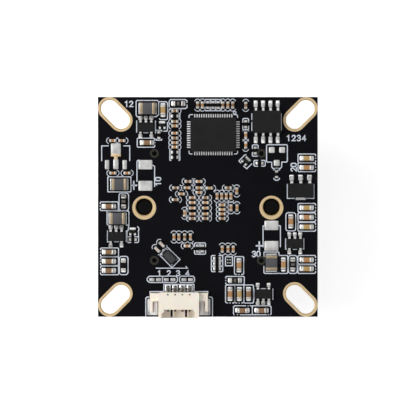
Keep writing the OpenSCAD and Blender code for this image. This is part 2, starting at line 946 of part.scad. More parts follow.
// Nail: a foot in front of the ear, a tab beside it and a bar that lies in its bay
module nail() {
    x0 = socket_w / 2;
    x1 = x0 + wing_w;
    translate([x0 + 0.02, wing_y0 - 0.65, solder_t])
        cube([wing_w + tab_w - 0.02, 0.65, nail_t]);
    translate([x1, wing_y0 - 0.65, solder_t])
        cube([tab_w, 2.9, nail_t]);
    translate([x0 + 0.24, wing_y0 - 0.65, wing_floor])
        cube([0.55, window_y - wing_y0 + 0.6, nail_t]);
    translate([x0 + 0.24, wing_y0 - 0.65, solder_t])
        cube([0.55, nail_t, wing_floor]);
}

module connector_nails() {
    color(TIN) in_socket() both_ends() nail();
}

module connector_solder() {
    color(SOLDER)
        in_socket() {
            for (i = [0:ways - 1])
                translate([contact_x(i), tail_y, 0])
                    rotate(90)
                        joint(pin_t + 0.22, tail_y - back_y - 0.1, 0.2, 0.2);
            both_ends() {
                translate([socket_w / 2 + 0.02, wing_y0 - 0.65, 0])
                    cube([wing_w + tab_w - 0.02, 0.65, solder_t]);
                translate([socket_w / 2 + wing_w, wing_y0 - 0.65, 0])
                    cube([tab_w, 2.9, solder_t]);
            }
        }
}

// ---- board ----

module board_area() {
    square([board_w, board_l], center = true);
}

// Areas of the four corner slots, widened by a margin
module slot_area(margin) {
    for (x = [-1, 1], y = [-1, 1])
        bar_area([x * slot_x, y * slot_y], [x * (slot_x - slot_run), y * (slot_y - slot_run)],
            slot_w / 2 + margin);
}

module peg_hole_area(margin) {
    for (x = [-1, 1])
        translate([x * peg_pitch / 2, 0])
            circle(d = peg_hole_d + 2 * margin);
}

module via_area(margin) {
    for (x = [-1, 1], y = [-1, 1])
        translate([x, y] * via_pitch / 2)
            circle(d = via_d + 2 * margin);
}

module circuit_board() {
    color(BOARD)
        translate([0, 0, board_z])
            linear_extrude(board_t)
                difference() {
                    board_area();
                    slot_area(plate_t);
                    peg_hole_area(plate_t);
                    via_area(plate_t);
                }
}

module slot_lands() {
    color(GOLD)
        plating() {
            intersection() {
                slot_area(slot_land);
                board_area();
            }
            slot_area(plate_t);
            slot_area(0);
        }
}

module peg_hole_lands() {
    color(GOLD)
        plating() {
            peg_hole_area(peg_land);
            peg_hole_area(plate_t);
            peg_hole_area(0);
        }
}

module plated_holes() {
    color([0.25, 0.24, 0.18])
        plating() {
            via_area(via_ring);
            via_area(plate_t);
            via_area(0);
        }
}

module bare_pads() {
    color(SOLDER) {
        for (p = BARE_PADS)
            at([[p[0], p[1], 0]])
                block([p[2], p[3], solder_t]);
        in_socket()
            for (p = SOCKET_PADS)
                translate([p[0], socket_pads_y, 0])
                    block([p[1], p[2], solder_t]);
        at(BALLS)
            for (x = [-0.5, 0.5], y = [-0.5, 0.5])
                translate([x * ball_pitch.x, y * ball_pitch.y, 0])
                    cylinder(d = ball_d, h = solder_t);
    }
}

// Area of a printed frame of the given middle line
module frame_area(w, l) {
    difference() {
        square([w + line_w, l + line_w], center = true);
        square([w - line_w, l - line_w], center = true);
    }
}

// Printed outline round the socket: steps for the nails, the body and the contacts
module socket_outline() {
    nail_x = socket_w / 2 + wing_w + tab_w + 0.25;
    body_x = socket_w / 2 + wing_w + 0.2;
    tail_x = cavity_w / 2 - 0.25;
    both_ends() {
        translate([nail_x, 0]) square([line_w, wing_y0 + 2.4]);
        translate([body_x, wing_y0 + 2.4]) square([nail_x - body_x + line_w, line_w]);
        translate([tail_x, back_y + 0.1]) square([body_x - tail_x, line_w]);
        translate([tail_x, back_y + 0.1]) square([line_w, tail_y - back_y + 0.35]);
    }
    translate([-tail_x, tail_y + 0.3]) square([2 * tail_x + line_w, line_w]);
}

module printed_legend() {
    color(INK) {
        difference() {
            for (f = FRAMES)
                at([[f[0], f[1], 0]])
                    linear_extrude(ink_t) frame_area(f[2], f[3]);
            translate([0, 0, top_z - 1])
                linear_extrude(2) via_area(via_ring + line_w / 2);
        }
        in_socket() linear_extrude(ink_t) socket_outline();
    }
}

// ---- lens holder, bonded to the board by its pegs ----

module lens_holder() {
    color(PLASTIC)
        difference() {
            union() {
                translate([0, 0, board_z - base_h])
                    linear_extrude(base_h) round_rect([base_w, base_w], base_r);
                translate([0, 0, board_z - ear_h])
                    linear_extrude(ear_h)
                        bar_area([-peg_pitch / 2, 0], [peg_pitch / 2, 0], ear_w / 2);
                translate([0, 0, tube_z])
                    cylinder(d = tube_d, h = board_z - tube_z - 1);
                // pegs, rounded off at their ends
                for (x = [-1, 1])
                    translate([x * peg_pitch / 2, 0, board_z - 1]) {
                        cylinder(d = peg_d, h = 1 + board_t - peg_sink - 0.3);
                        translate([0, 0, 1 + board_t - peg_sink - 0.3])
                            cylinder(d1 = peg_d, d2 = peg_d - 0.6, h = 0.3);
                    }
            }
            // bore for the lens, with a lead-in at its mouth
            translate([0, 0, tube_z - 1])
                cylinder(d = bore_d, h = web_z - tube_z + 1);
            translate([0, 0, tube_z - eps])
                cylinder(d1 = bore_d + 0.8, d2 = bore_d, h = 0.4);
            translate([0, 0, web_z - 1])
                cylinder(d = window_d, h = web_t + 2);
            // chamber over the image sensor
            translate([0, 0, board_z - chamber_h])
                linear_extrude(chamber_h + eps) round_rect([chamber_w, chamber_w], 0.6);
            // reliefs over the metal rings round the small holes and the peg holes
            translate([0, 0, board_z - 2 * land_t])
                linear_extrude(1) via_area(via_ring + 0.1);
            for (x = [-1, 1])
                translate([x * peg_pitch / 2, 0, board_z - 2 * land_t])
                    difference() {
                        cylinder(d = peg_hole_d + 2 * peg_land + 0.2, h = 2 * land_t + eps);
                        translate([0, 0, -1]) cylinder(d = peg_d, h = 3);
                    }
        }
}

// ---- lens ----

rim_bore = head_d - 2;

module lens_barrel() {
    color([0.1, 0.1, 0.1])
        rotate_extrude()
            polygon([
                [rim_bore / 2, 0], [head_d / 2 - 0.3, 0], [head_d / 2, 0.3],
                [head_d / 2, head_h - 0.3], [head_d / 2 - 0.3, head_h],
                [thread_d / 2 - 0.3, head_h], [thread_d / 2, head_h + 0.4],
                [thread_d / 2, barrel_l - 0.5], [thread_d / 2 - 0.5, barrel_l],
                [ring_bore / 2 + 0.6, barrel_l], [ring_bore / 2, barrel_l - 1],
                [ring_bore / 2, seat_z], [cell_d / 2, seat_z], [cell_d / 2, ring_depth],
            ]);
}

// Ring of the cell's size, standing on z
module cell_ring(z, h, bore) {
    translate([0, 0, z])
        difference() {
            cylinder(d = glass_d, h = h);
            translate([0, 0, -1]) cylinder(d = bore, h = h + 2);
        }
}

module retaining_ring() {
    color([0.15, 0.15, 0.15])
        difference() {
            cell_ring(ring_depth, ring_h, ring_bore);
            // two notches for a ring spanner
            for (x = [-1, 1])
                translate([x * glass_d / 2, 0, ring_depth])
                    cube([2, 0.8, 1], center = true);
        }
}

// Glass element: flat edge faces from z to z + edge, bulging past them by the sags
module element(z, edge, front, rear) {
    clear = ring_bore - 0.4;
    translate([0, 0, z]) {
        difference() {
            cylinder(d = glass_d, h = edge);
            if (front < 0) translate([0, 0, 0]) dome(clear, -front, 0);
            if (rear < 0) translate([0, 0, edge]) mirror([0, 0, 1]) dome(clear, -rear, 0);
        }
        if (front > 0) mirror([0, 0, 1]) dome(clear, front, eps);
        if (rear > 0) translate([0, 0, edge]) dome(clear, rear, eps);
    }
}

// Spherical cap of a given diameter and height over z = 0, sunk by a little
module dome(d, sag, sink) {
    r = (d * d / 4 + sag * sag) / (2 * sag);
    intersection() {
        translate([0, 0, sag - r]) sphere(r, $fn = 96);
        translate([0, 0, -sink]) cylinder(d = d + 1, h = sag + sink + 1);
    }
}

front_z = ring_depth + ring_h;
stop_z = front_z + front_edge;
middle_z = stop_z + stop_h;
spacer_z = middle_z + middle_edge;
rear_z = spacer_z + spacer_h;

module front_lens() {
    color(GLASS) element(front_z, front_edge, 0.9, -0.7);
}

module stop_spacer() {
    color([0.12, 0.12, 0.12]) {
        cell_ring(stop_z, stop_h, ring_bore);
        translate([0, 0, stop_z + stop_h * 0.6])
            difference() {
                cylinder(d = ring_bore + 0.4, h = 0.3);
                translate([0, 0, -1]) cylinder(d = stop_d, h = 3);
            }
    }
}

module middle_lens() {
    color(GLASS) element(middle_z, middle_edge, 0.6, 0.8);
}

module plain_spacer() {
    color([0.12, 0.12, 0.12]) cell_ring(spacer_z, spacer_h, ring_bore);
}

module rear_lens() {
    color(GLASS) element(rear_z, rear_edge, 0.9, -0.5);
}

// ---- image sensor, on the lower face in the middle of the board ----

pocket_w = sensor_w - 1.6;
pane_w = sensor_w - 0.8;
filter_gap = 0.1;

// Puts children on the lower face with +Z towards the lens
module under_board() {
    translate([0, 0, board_z])
        mirror([0, 0, 1])
            children();
}

module sensor_package() {
    color([0.2, 0.2, 0.22])
        under_board()
            difference() {
                block([sensor_w, sensor_w, sensor_h], solder_t);
                block([pocket_w, pocket_w, sensor_h], solder_t + 0.35);
                block([pane_w, pane_w, 2], solder_t + sensor_h - pane_t / 2);
            }
}

module sensor_die() {
    color([0.3, 0.32, 0.36])
        under_board()
            block([die_w, die_l, 0.3], solder_t + 0.35);
}

module sensor_glass() {
    color(GLASS)
        under_board()
            block([pane_w, pane_w, pane_t], solder_t + sensor_h - pane_t / 2);
}

module sensor_solder() {
    color(SOLDER)
        under_board()
            for (side = [0:90:270], i = [-4:4])
                rotate(side)
                    translate([i * 0.8 - 0.25, sensor_w / 2 - 0.7, 0])
                        cube([0.5, 0.7, solder_t]);
}

module infrared_filter() {
    color([0.55, 0.3, 0.35])
        translate([0, 0, web_z + web_t])
            block([filter_w, filter_w, pane_t]);
}

// ---- drawing ----

circuit_board();
slot_lands();
peg_hole_lands();
plated_holes();
bare_pads();
printed_legend();
controller_body();
controller_terminals();
controller_solder();
memory_body();
memory_leads();
memory_solder();
regulator_bodies();
regulator_leads();
regulator_solder();
linear_body();
linear_leads();
linear_solder();
transistor_bodies();
transistor_solder();
inductor_cores();
inductor_terminals();
inductor_solder();
crystal_base();
crystal_lid();
crystal_solder();
small_capacitor_bodies();
small_capacitor_caps();
small_capacitor_solder();
small_resistor_bodies();
small_resistor_glazes();
small_resistor_caps();
small_resistor_solder();
large_capacitor_bodies();
large_capacitor_caps();
large_resistor_body();
large_resistor_glaze();
large_resistor_caps();
bead_bodies();
bead_caps();
large_chip_solder();
connector_housing();
connector_contacts();
connector_nails();
connector_solder();
lens_holder();
lens_barrel();
retaining_ring();
front_lens();
stop_spacer();
middle_lens();
plain_spacer();
rear_lens();
infrared_filter();
sensor_package();
sensor_die();
sensor_glass();
sensor_solder();
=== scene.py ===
# %% [markdown]
# This lesson dresses a fixed-focus camera module. The exact solids come from the
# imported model, and everything here gives them the look of the real thing: solder
# that has flowed, ceramic chips with rounded ends, printed ink and moulded resin.
# The solids could be dressed as they are, but blocks of solder look like toys under
# a close lens, so most of what stands on the board is built again over them. All
# lengths in Blender are metres, so the small sizes below are written in millimetres
# and multiplied by MM.

# %% Load the solid model
import math
import random

import bmesh
import bpy
import numpy as np
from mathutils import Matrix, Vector


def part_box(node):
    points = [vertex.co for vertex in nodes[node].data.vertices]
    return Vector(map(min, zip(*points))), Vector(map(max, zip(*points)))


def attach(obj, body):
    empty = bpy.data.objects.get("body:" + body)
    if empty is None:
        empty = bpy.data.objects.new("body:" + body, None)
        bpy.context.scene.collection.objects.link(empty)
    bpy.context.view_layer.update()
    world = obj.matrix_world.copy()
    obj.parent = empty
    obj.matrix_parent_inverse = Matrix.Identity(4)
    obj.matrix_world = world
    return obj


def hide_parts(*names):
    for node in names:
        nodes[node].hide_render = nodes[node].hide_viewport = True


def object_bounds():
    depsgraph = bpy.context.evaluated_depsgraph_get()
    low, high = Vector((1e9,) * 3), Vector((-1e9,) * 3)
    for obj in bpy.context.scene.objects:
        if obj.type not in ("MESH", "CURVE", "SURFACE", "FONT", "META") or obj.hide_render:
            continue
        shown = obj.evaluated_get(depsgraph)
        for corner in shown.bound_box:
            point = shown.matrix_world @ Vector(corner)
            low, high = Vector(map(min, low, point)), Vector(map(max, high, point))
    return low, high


MM = 0.001
# corners nearer than this, in metres, are one corner
TOUCHING = 0.000001
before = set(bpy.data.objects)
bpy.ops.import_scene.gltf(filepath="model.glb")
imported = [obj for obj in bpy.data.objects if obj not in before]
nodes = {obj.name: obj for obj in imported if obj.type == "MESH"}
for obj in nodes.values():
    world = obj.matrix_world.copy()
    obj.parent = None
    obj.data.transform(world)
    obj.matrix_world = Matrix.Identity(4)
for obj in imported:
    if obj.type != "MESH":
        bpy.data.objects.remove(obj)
solid_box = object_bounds()
board_low, board_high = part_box("circuit_board")
mask_z = board_high.z
print("nodes", len(nodes), "board", [round(v / MM, 2) for v in board_high - board_low])

# %% [markdown]
# The module lies on its lens, with its parts facing up, and the camera looks
# straight down on it. An orthographic camera could do this, but a long lens far away
# looks more natural: it keeps the board's edges parallel and nearly hides the upright
# sides of tall parts, which a camera close by would show.

# %% Camera
CAMERA_DISTANCE = 0.6
CAMERA_LEAN = math.radians(0.5)
# how much of the picture's width the board fills, and the sensor's width in mm
BOARD_SHARE = 0.5283
SENSOR = 36

camera_data = bpy.data.cameras.new("camera")
camera = bpy.data.objects.new("camera", camera_data)
bpy.context.scene.collection.objects.link(camera)
aim = Vector((0.03 * MM, -0.19 * MM, mask_z))
camera.location = aim + CAMERA_DISTANCE * Vector((0, math.sin(CAMERA_LEAN), math.cos(CAMERA_LEAN)))
camera.rotation_euler = (-CAMERA_LEAN, 0, 0)
camera_data.sensor_width = SENSOR
camera_data.lens = SENSOR * BOARD_SHARE * CAMERA_DISTANCE / (board_high.x - board_low.x)
camera_data.clip_start = 0.01
camera_data.clip_end = 10
bpy.context.scene.camera = camera
print("lens", round(camera_data.lens, 1), "mm")

# %% [markdown]
# Metal shows what is around it, so the lamps matter more than usual. A wide soft key
# lamp stands on the left and weaker ones on the other three sides, because bright
# solder is then drawn by broad white shapes while the flat board, which mirrors only
# what is straight above it, stays dark. The world is a weak fill that fades from
# overhead to the rim, so flat metal is bright and its slopes fall away into grey.

# %% Light
def soft_lamp(name, place, size, power):
    """A square area lamp that faces the board's middle."""
    data = bpy.data.lights.new(name, "AREA")
    data.shape = "RECTANGLE"
    data.size, data.size_y = size
    data.energy = power
    lamp = bpy.data.objects.new(name, data)
    lamp.location = place
    lamp.rotation_euler = (aim - Vector(place)).to_track_quat("-Z", "Y").to_euler()
    bpy.context.scene.collection.objects.link(lamp)


soft_lamp("key_lamp", (-0.42, 0.1, 0.42), (0.32, 0.4), 2.4)
soft_lamp("far_lamp", (0.05, 0.48, 0.36), (0.4, 0.2), 0.65)
soft_lamp("near_lamp", (-0.05, -0.45, 0.34), (0.4, 0.2), 0.65)
soft_lamp("right_lamp", (0.45, 0, 0.36), (0.2, 0.3), 0.2)

world = bpy.data.worlds.new("studio")
bpy.context.scene.world = world
world.use_nodes = True
wn, wl = world.node_tree.nodes, world.node_tree.links
heading = wn.new("ShaderNodeTexCoord")
split = wn.new("ShaderNodeSeparateXYZ")
fade = wn.new("ShaderNodeMapRange")
fade.inputs["From Min"].default_value = 0.2
fade.inputs["From Max"].default_value = 0.95
fade.inputs["To Min"].default_value = 0.05
fade.inputs["To Max"].default_value = 0.4
wl.new(heading.outputs["Generated"], split.inputs["Vector"])
wl.new(split.outputs["Z"], fade.inputs["Value"])
sky = wn["Background"]
sky.inputs["Color"].default_value = (1, 1, 1, 1)
wl.new(fade.outputs["Result"], sky.inputs["Strength"])
bpy.context.scene.view_settings.view_transform = "Standard"

# %% [markdown]
# The floor is a plain pale sheet under the lens. Lamps bright enough to whiten it
# would burn out the module, so it glows by itself where the camera or a reflection
# sees it. For every other ray it stays an ordinary diffuse sheet, so the module's
# soft shadow still falls on it and no light rises from it.

# %% Floor
def paint(name):
    """A new material with its node tree, links and main shader."""
    material = bpy.data.materials.new(name)
    material.use_nodes = True
    tree = material.node_tree
    return material, tree.nodes, tree.links, tree.nodes["Principled BSDF"]


FLOOR_GLOW = 0.55
# side of the sheet in metres
FLOOR_SIDE = 6
floor_paint, fn, fl, floor_shader = paint("pale_floor")
floor_shader.inputs["Base Color"].default_value = (0.9, 0.9, 0.9, 1)
floor_shader.inputs["Roughness"].default_value = 0.9
path = fn.new("ShaderNodeLightPath")
glow = fn.new("ShaderNodeEmission")
glow.inputs["Color"].default_value = (1, 1, 1, 1)
dim = fn.new("ShaderNodeMath")
dim.operation = "MULTIPLY"
dim.inputs[1].default_value = FLOOR_GLOW
ray = path.outputs["Is Camera Ray"]
for kind in ("Is Glossy Ray", "Is Transmission Ray"):
    seen = fn.new("ShaderNodeMath")
    seen.operation = "MAXIMUM"
    fl.new(ray, seen.inputs[0])
    fl.new(path.outputs[kind], seen.inputs[1])
    ray = seen.outputs[0]
fl.new(ray, dim.inputs[0])
fl.new(dim.outputs[0], glow.inputs["Strength"])
both = fn.new("ShaderNodeAddShader")
fl.new(floor_shader.outputs[0], both.inputs[0])
fl.new(glow.outputs[0], both.inputs[1])
fl.new(both.outputs[0], fn["Material Output"].inputs["Surface"])

bpy.ops.mesh.primitive_plane_add(size=FLOOR_SIDE, location=(0, 0, solid_box[0][2]))
floor = bpy.context.object
floor.name = "floor"
floor.data.materials.append(floor_paint)
print("floor at", round(solid_box[0][2] / MM, 3), "mm")

# %% [markdown]
# Every finish below has the same three ingredients: a colour that drifts a little
# from place to place, a roughness that drifts too, and a bump for grain. They could
# be painted on a picture and wrapped round each part, but noise needs no unwrapping
# and has no seams, so one helper builds them from noise and each finish only states
# its own numbers. Values that are the same all over stay on the shader's sockets.

# %% Helper for finishes
# height of the grain's bumps in metres
GRAIN_HEIGHT = 0.00002


def finish(name, low, high, rough, metal=0.0, grain=900, depth=0.05, drift=160, sheen=0.5):
    """A finish whose colour drifts from low to high and whose roughness spans a pair."""
    material, mn, ml, shader = paint(name)
    where = mn.new("ShaderNodeTexCoord")
    cloud = mn.new("ShaderNodeTexNoise")
    cloud.inputs["Scale"].default_value = drift
    cloud.inputs["Detail"].default_value = 3
    ml.new(where.outputs["Object"], cloud.inputs["Vector"])
    tint = mn.new("ShaderNodeMix")
    tint.data_type = "RGBA"
    tint.inputs["A"].default_value = (*low, 1)
    tint.inputs["B"].default_value = (*high, 1)
    ml.new(cloud.outputs["Fac"], tint.inputs["Factor"])
    ml.new(tint.outputs["Result"], shader.inputs["Base Color"])
    span = mn.new("ShaderNodeMapRange")
    span.inputs["To Min"].default_value, span.inputs["To Max"].default_value = rough
    grit = mn.new("ShaderNodeTexNoise")
    grit.inputs["Scale"].default_value = grain
    grit.inputs["Detail"].default_value = 4
    ml.new(where.outputs["Object"], grit.inputs["Vector"])
    ml.new(grit.outputs["Fac"], span.inputs["Value"])
    ml.new(span.outputs["Result"], shader.inputs["Roughness"])
    dent = mn.new("ShaderNodeBump")
    dent.inputs["Strength"].default_value = depth
    dent.inputs["Distance"].default_value = GRAIN_HEIGHT
    ml.new(grit.outputs["Fac"], dent.inputs["Height"])
    ml.new(dent.outputs["Normal"], shader.inputs["Normal"])
    shader.inputs["Metallic"].default_value = metal
    shader.inputs["Specular IOR Level"].default_value = sheen
    return material


# %% [markdown]
# The board's colour comes from a near-black solder mask: a thin lacquer over copper
# and glass cloth. It is satin, so it mirrors the lamps only at a slant, and its
# specular level is turned down because a dark lacquer at its usual level looks grey.
# The gold is a thin, slightly rough plating, so it is kept short of a full metal.

# %% Board finishes
mask_finish = finish("solder_mask", (0.0025, 0.0025, 0.0038), (0.006, 0.006, 0.0085), (0.3, 0.42),
                     grain=2500, depth=0.15, sheen=0.06)
gold_look = dict(rough=(0.4, 0.55), metal=0.7, grain=3000, depth=0.3, drift=700)
gold_finish = finish("gold_plate", (0.78, 0.57, 0.31), (0.9, 0.7, 0.44), **gold_look)
# a darker gold for the holes' rounded rims and walls: painted shade
painted_shade_gold = finish("gold_wall_painted_shade", (0.52, 0.37, 0.17), (0.66, 0.49, 0.25), **gold_look)
ring_finish = finish("masked_ring", (0.012, 0.011, 0.007), (0.03, 0.026, 0.016), (0.25, 0.4),
                     grain=2500)
ink_finish = finish("legend_ink", (0.58, 0.63, 0.72), (0.78, 0.82, 0.9), (0.55, 0.7),
                    grain=4000, depth=0.3, drift=1500)
print("board finishes", [m.name for m in bpy.data.materials])

# %% [markdown]
# Reflowed solder is bright and smooth, while plated ends are a little creamier and
# rougher. Empty pads and flat feet hold a thin, uneven coat, so their colour drifts
# much further between light and dark. A single grey metal could serve for them all,
# but then every pad would shine alike, as it never does on a real board.

# %% Metal finishes
solder_finish = finish("solder", (0.86, 0.86, 0.84), (0.93, 0.93, 0.92), (0.3, 0.42),
                       metal=0.9, grain=2500, depth=0.1, drift=900)
tin_finish = finish("tin_plate", (0.68, 0.65, 0.6), (0.8, 0.77, 0.72), (0.36, 0.5),
                    metal=0.8, grain=3500, depth=0.2, drift=1200)
pad_finish = finish("pad_solder", (0.3, 0.3, 0.29), (1, 1, 0.99), (0.3, 0.5),
                    metal=0.3, grain=1600, depth=0.8, drift=650)
tail_finish = finish("tail_solder", (0.42, 0.42, 0.42), (1, 1, 1), (0.18, 0.28),
                     metal=0.8, grain=1500, depth=0.6, drift=1500)
# a dark metal for the steep bend of each lead: painted shade
bend_shade_finish = finish("lead_bend_painted_shade", (0.05, 0.05, 0.045), (0.1, 0.1, 0.09), (0.4, 0.5),
                     metal=0.5, grain=2500)
nail_finish = finish("nail_tin", (0.62, 0.61, 0.6), (0.95, 0.95, 0.97), (0.45, 0.6),
                     metal=0.35, grain=2500, depth=0.3, drift=1300)
# the contacts' metal, darkened to a deep brown: painted shade of the socket's cavity
contact_shade_finish = finish("contact_painted_shade", (0.09, 0.075, 0.06), (0.16, 0.13, 0.1), (0.3, 0.4),
                       metal=0.9, grain=2500)
end_finish = finish("inductor_metal", (0.4, 0.31, 0.19), (0.58, 0.47, 0.32), (0.32, 0.5),
                    metal=0.7, grain=3000, depth=0.2, drift=700)
lid_finish = finish("crystal_lid", (0.06, 0.061, 0.066), (0.1, 0.102, 0.11), (0.22, 0.34),
                    metal=0.6, grain=2500)
print("finishes so far", len(bpy.data.materials))

# %% [markdown]
# Chip capacitors are fired ceramic, whose brown changes from one recipe to the next,
# so four browns are made that differ only in colour. Moulding resin is a fine dark
# grit, iron powder is greyer and coarser, and ferrite and glaze are nearly black.

# %% Ceramic and resin finishes
CLAYS = {
    "ochre_ceramic": ((0.38, 0.24, 0.085), (0.53, 0.36, 0.15)),
    "orange_ceramic": ((0.34, 0.165, 0.062), (0.52, 0.28, 0.125)),
    "brown_ceramic": ((0.2, 0.11, 0.05), (0.3, 0.17, 0.08)),
    "pale_ceramic": ((0.5, 0.4, 0.34), (0.66, 0.56, 0.5)),
}
clay_finishes = [finish(name, low, high, (0.35, 0.5), grain=3500, depth=0.2, drift=900)
                 for name, (low, high) in CLAYS.items()]
resin_finish = finish("chip_resin", (0.01, 0.01, 0.0102), (0.017, 0.017, 0.0172), (0.5, 0.65),
                      grain=5000, depth=0.5, drift=500, sheen=0.12)
base_finish = finish("crystal_ceramic", (0.012, 0.012, 0.014), (0.03, 0.03, 0.033), (0.4, 0.55),
                     grain=3500, sheen=0.2)
white_finish = finish("alumina", (0.72, 0.7, 0.65), (0.82, 0.8, 0.76), (0.45, 0.6), grain=4000)
glaze_finish = finish("resistor_glaze", (0.003, 0.003, 0.003), (0.006, 0.006, 0.006), (0.3, 0.45),
                      grain=3000, sheen=0.1)
core_finish = finish("inductor_powder", (0.055, 0.055, 0.062), (0.085, 0.085, 0.094), (0.5, 0.65),
                     grain=3500, depth=0.6, drift=900)
ferrite_finish = finish("ferrite", (0.005, 0.005, 0.004), (0.01, 0.009, 0.008), (0.35, 0.5),
                        grain=3500, depth=0.3, sheen=0.2)
# a pale grey for the patch on top of each bead: painted highlight
bead_highlight_finish = finish("bead_painted_highlight", (0.09, 0.085, 0.078), (0.14, 0.133, 0.122), (0.5, 0.6), grain=3500)
print("finishes so far", len(bpy.data.materials))

# %% [markdown]
# The socket is moulded in a natural nylon, which is cream and lets light in a little
# way before it comes out again, redder than it went in. That could be faked with a
# lighter colour, but then its thin walls would stay dark at the edges, so the shader's
# own subsurface does it. Its three radii, one for each of red, green and blue, are
# multiplied by the shader's scale, and red travels furthest.

# %% Socket finish
cream_finish = finish("socket_plastic", (0.94, 0.84, 0.72), (0.98, 0.89, 0.79), (0.4, 0.55),
                      grain=3000, depth=0.15, drift=300)
cream_shader = cream_finish.node_tree.nodes["Principled BSDF"]
cream_shader.inputs["Subsurface Weight"].default_value = 0.5
cream_shader.inputs["Subsurface Radius"].default_value = (0.002, 0.0012, 0.0007)
print("finishes so far", len(bpy.data.materials))

# %% [markdown]
# On the hidden side there is black moulded plastic, black anodised metal and coated
# glass. Glass needs no noise, because polish leaves nothing to vary: it is clear, with
# a faint green coat as on camera lenses, and reddish on the filter that stops infrared.

# %% Lens finishes
plastic_finish = finish("black_plastic", (0.002, 0.002, 0.002), (0.004, 0.004, 0.004), (0.12, 0.2),
                        grain=2500, depth=0.1, sheen=0.12)
anodised_finish = finish("black_anodised", (0.01, 0.01, 0.011), (0.018, 0.018, 0.019), (0.3, 0.42),
                         metal=0.5, grain=4000, depth=0.3)
package_finish = finish("package_ceramic", (0.03, 0.03, 0.033), (0.05, 0.05, 0.055), (0.5, 0.6))
silicon_finish = finish("silicon", (0.1, 0.11, 0.14), (0.16, 0.17, 0.2), (0.12, 0.2), metal=0.9)


def glass(name, colour, coat):
    """Clear glass with a thin coloured coat."""
    material, mn, ml, shader = paint(name)
    shader.inputs["Base Color"].default_value = (*colour, 1)
    shader.inputs["Roughness"].default_value = 0.02
    shader.inputs["IOR"].default_value = 1.6
    shader.inputs["Transmission Weight"].default_value = 1
    shader.inputs["Coat Weight"].default_value = 0.4
    shader.inputs["Coat Tint"].default_value = (*coat, 1)
    return material


lens_glass = glass("coated_glass", (0.93, 0.97, 0.95), (0.6, 0.9, 0.75))
filter_glass = glass("filter_glass", (0.8, 0.93, 0.9), (0.95, 0.6, 0.65))
clear_glass = glass("clear_glass", (0.97, 0.98, 0.98), (1, 1, 1))
print("all finishes", len(bpy.data.materials))

# %% [markdown]
# Moulded and plated edges are never knife sharp. They could be rounded by hand in edit
# mode, but then the mesh would no longer be the measured one. Two modifiers round what
# the light catches instead: Weld joins the split corners that the file format leaves,
# then Bevel rounds every edge sharper than thirty degrees.

# %% Rounded edges on solids that stay
SHARP = math.radians(30)


def dress(node, material, edge):
    """Gives a solid its finish, and edges rounded by that many millimetres."""
    solid = nodes[node]
    solid.data.materials.clear()
    solid.data.materials.append(material)
    if edge:
        weld = solid.modifiers.new("join_corners", "WELD")
        weld.merge_threshold = TOUCHING
        bevel = solid.modifiers.new("round_edges", "BEVEL")
        bevel.width = edge * MM
        bevel.segments = 2
        bevel.limit_method = "ANGLE"
        bevel.angle_limit = SHARP


KEPT = (
    # finish, rounding in mm, and the solids that have both
    (mask_finish, 0, ("circuit_board",)),
    (ring_finish, 0, ("plated_holes",)),
    (resin_finish, 0.05, ("controller_body", "memory_body", "regulator_bodies", "linear_body")),
    (nail_finish, 0.04, ("controller_terminals",)),
    (base_finish, 0.03, ("crystal_base",)),
    (lid_finish, 0.05, ("crystal_lid",)),
    (cream_finish, 0.06, ("connector_housing",)),
    # the contacts take the dark metal whose colour is painted shade
    (contact_shade_finish, 0.03, ("connector_contacts",)),
    (plastic_finish, 0.12, ("lens_holder",)),
    (anodised_finish, 0.05, ("lens_barrel", "retaining_ring")),
    (anodised_finish, 0, ("stop_spacer", "plain_spacer")),
    (lens_glass, 0, ("front_lens", "middle_lens", "rear_lens")),
    (filter_glass, 0, ("infrared_filter",)),
    (package_finish, 0, ("sensor_package",)),
    (silicon_finish, 0, ("sensor_die",)),
    (clear_glass, 0, ("sensor_glass",)),
    (solder_finish, 0, ("sensor_solder",)),
)
for material, edge, names in KEPT:
    for name in names:
        dress(name, material, edge)
print("solids dressed", sum(1 for o in nodes.values() if o.data.materials))

# %% [markdown]
# Most of what lies on the board is built again with softer shapes. Cubes with bevels
# would do for the chips but not for solder, whose surface is drawn up into a hollow
# slope, so all of it is one idea: a stack of rounded outlines joined by a skin. A block
# is a stack whose first and last outlines shrink, and solder is a stack that climbs a
# curve. Sizes in these shapes are in millimetres, and the last step makes them metres.

# %% Shapes from stacked outlines
def outline(x0, y0, x1, y1, r, z, steps=3):
    """A rounded rectangle at height z, as a ring of points."""
    r = min(r, (x1 - x0) / 2, (y1 - y0) / 2)
    corners = ((x1 - r, y1 - r), (x0 + r, y1 - r), (x0 + r, y0 + r), (x1 - r, y0 + r))
    ring = []
    for quarter, (cx, cy) in enumerate(corners):
        for step in range(steps + 1):
            turn = math.radians(90 * (quarter + step / steps))
            ring.append((cx + r * math.cos(turn), cy + r * math.sin(turn), z))
    return ring


def skin(rings):
    """Joins rings of equal length into one closed shape."""
    size = len(rings[0])
    points = [p for ring in rings for p in ring]
    faces = [tuple(range(size))[::-1]]
    for level in range(len(rings) - 1):
        for i in range(size):
            a, b = level * size + i, level * size + (i + 1) % size
            faces.append((a, b, b + size, a + size))
    top = (len(rings) - 1) * size
    faces.append(tuple(range(top, top + size)))
    return points, faces


def soft_block(x0, y0, x1, y1, z0, z1, edge, corner=None, steps=2):
    """A block whose edges are rounded by edge and whose upright corners by corner."""
    corner = edge if corner is None else corner
    rings = []
    for step in range(steps + 1):
        turn = math.radians(90 * step / steps)
        inset, rise = edge * (1 - math.sin(turn)), edge * (1 - math.cos(turn))
        rings.append((inset, z0 + rise))
    rings += [(inset, z0 + z1 - z) for inset, z in reversed(rings)]
    return skin([outline(x0 + i, y0 + i, x1 - i, y1 - i, max(corner - i, 0.01), z)
                 for i, z in rings])


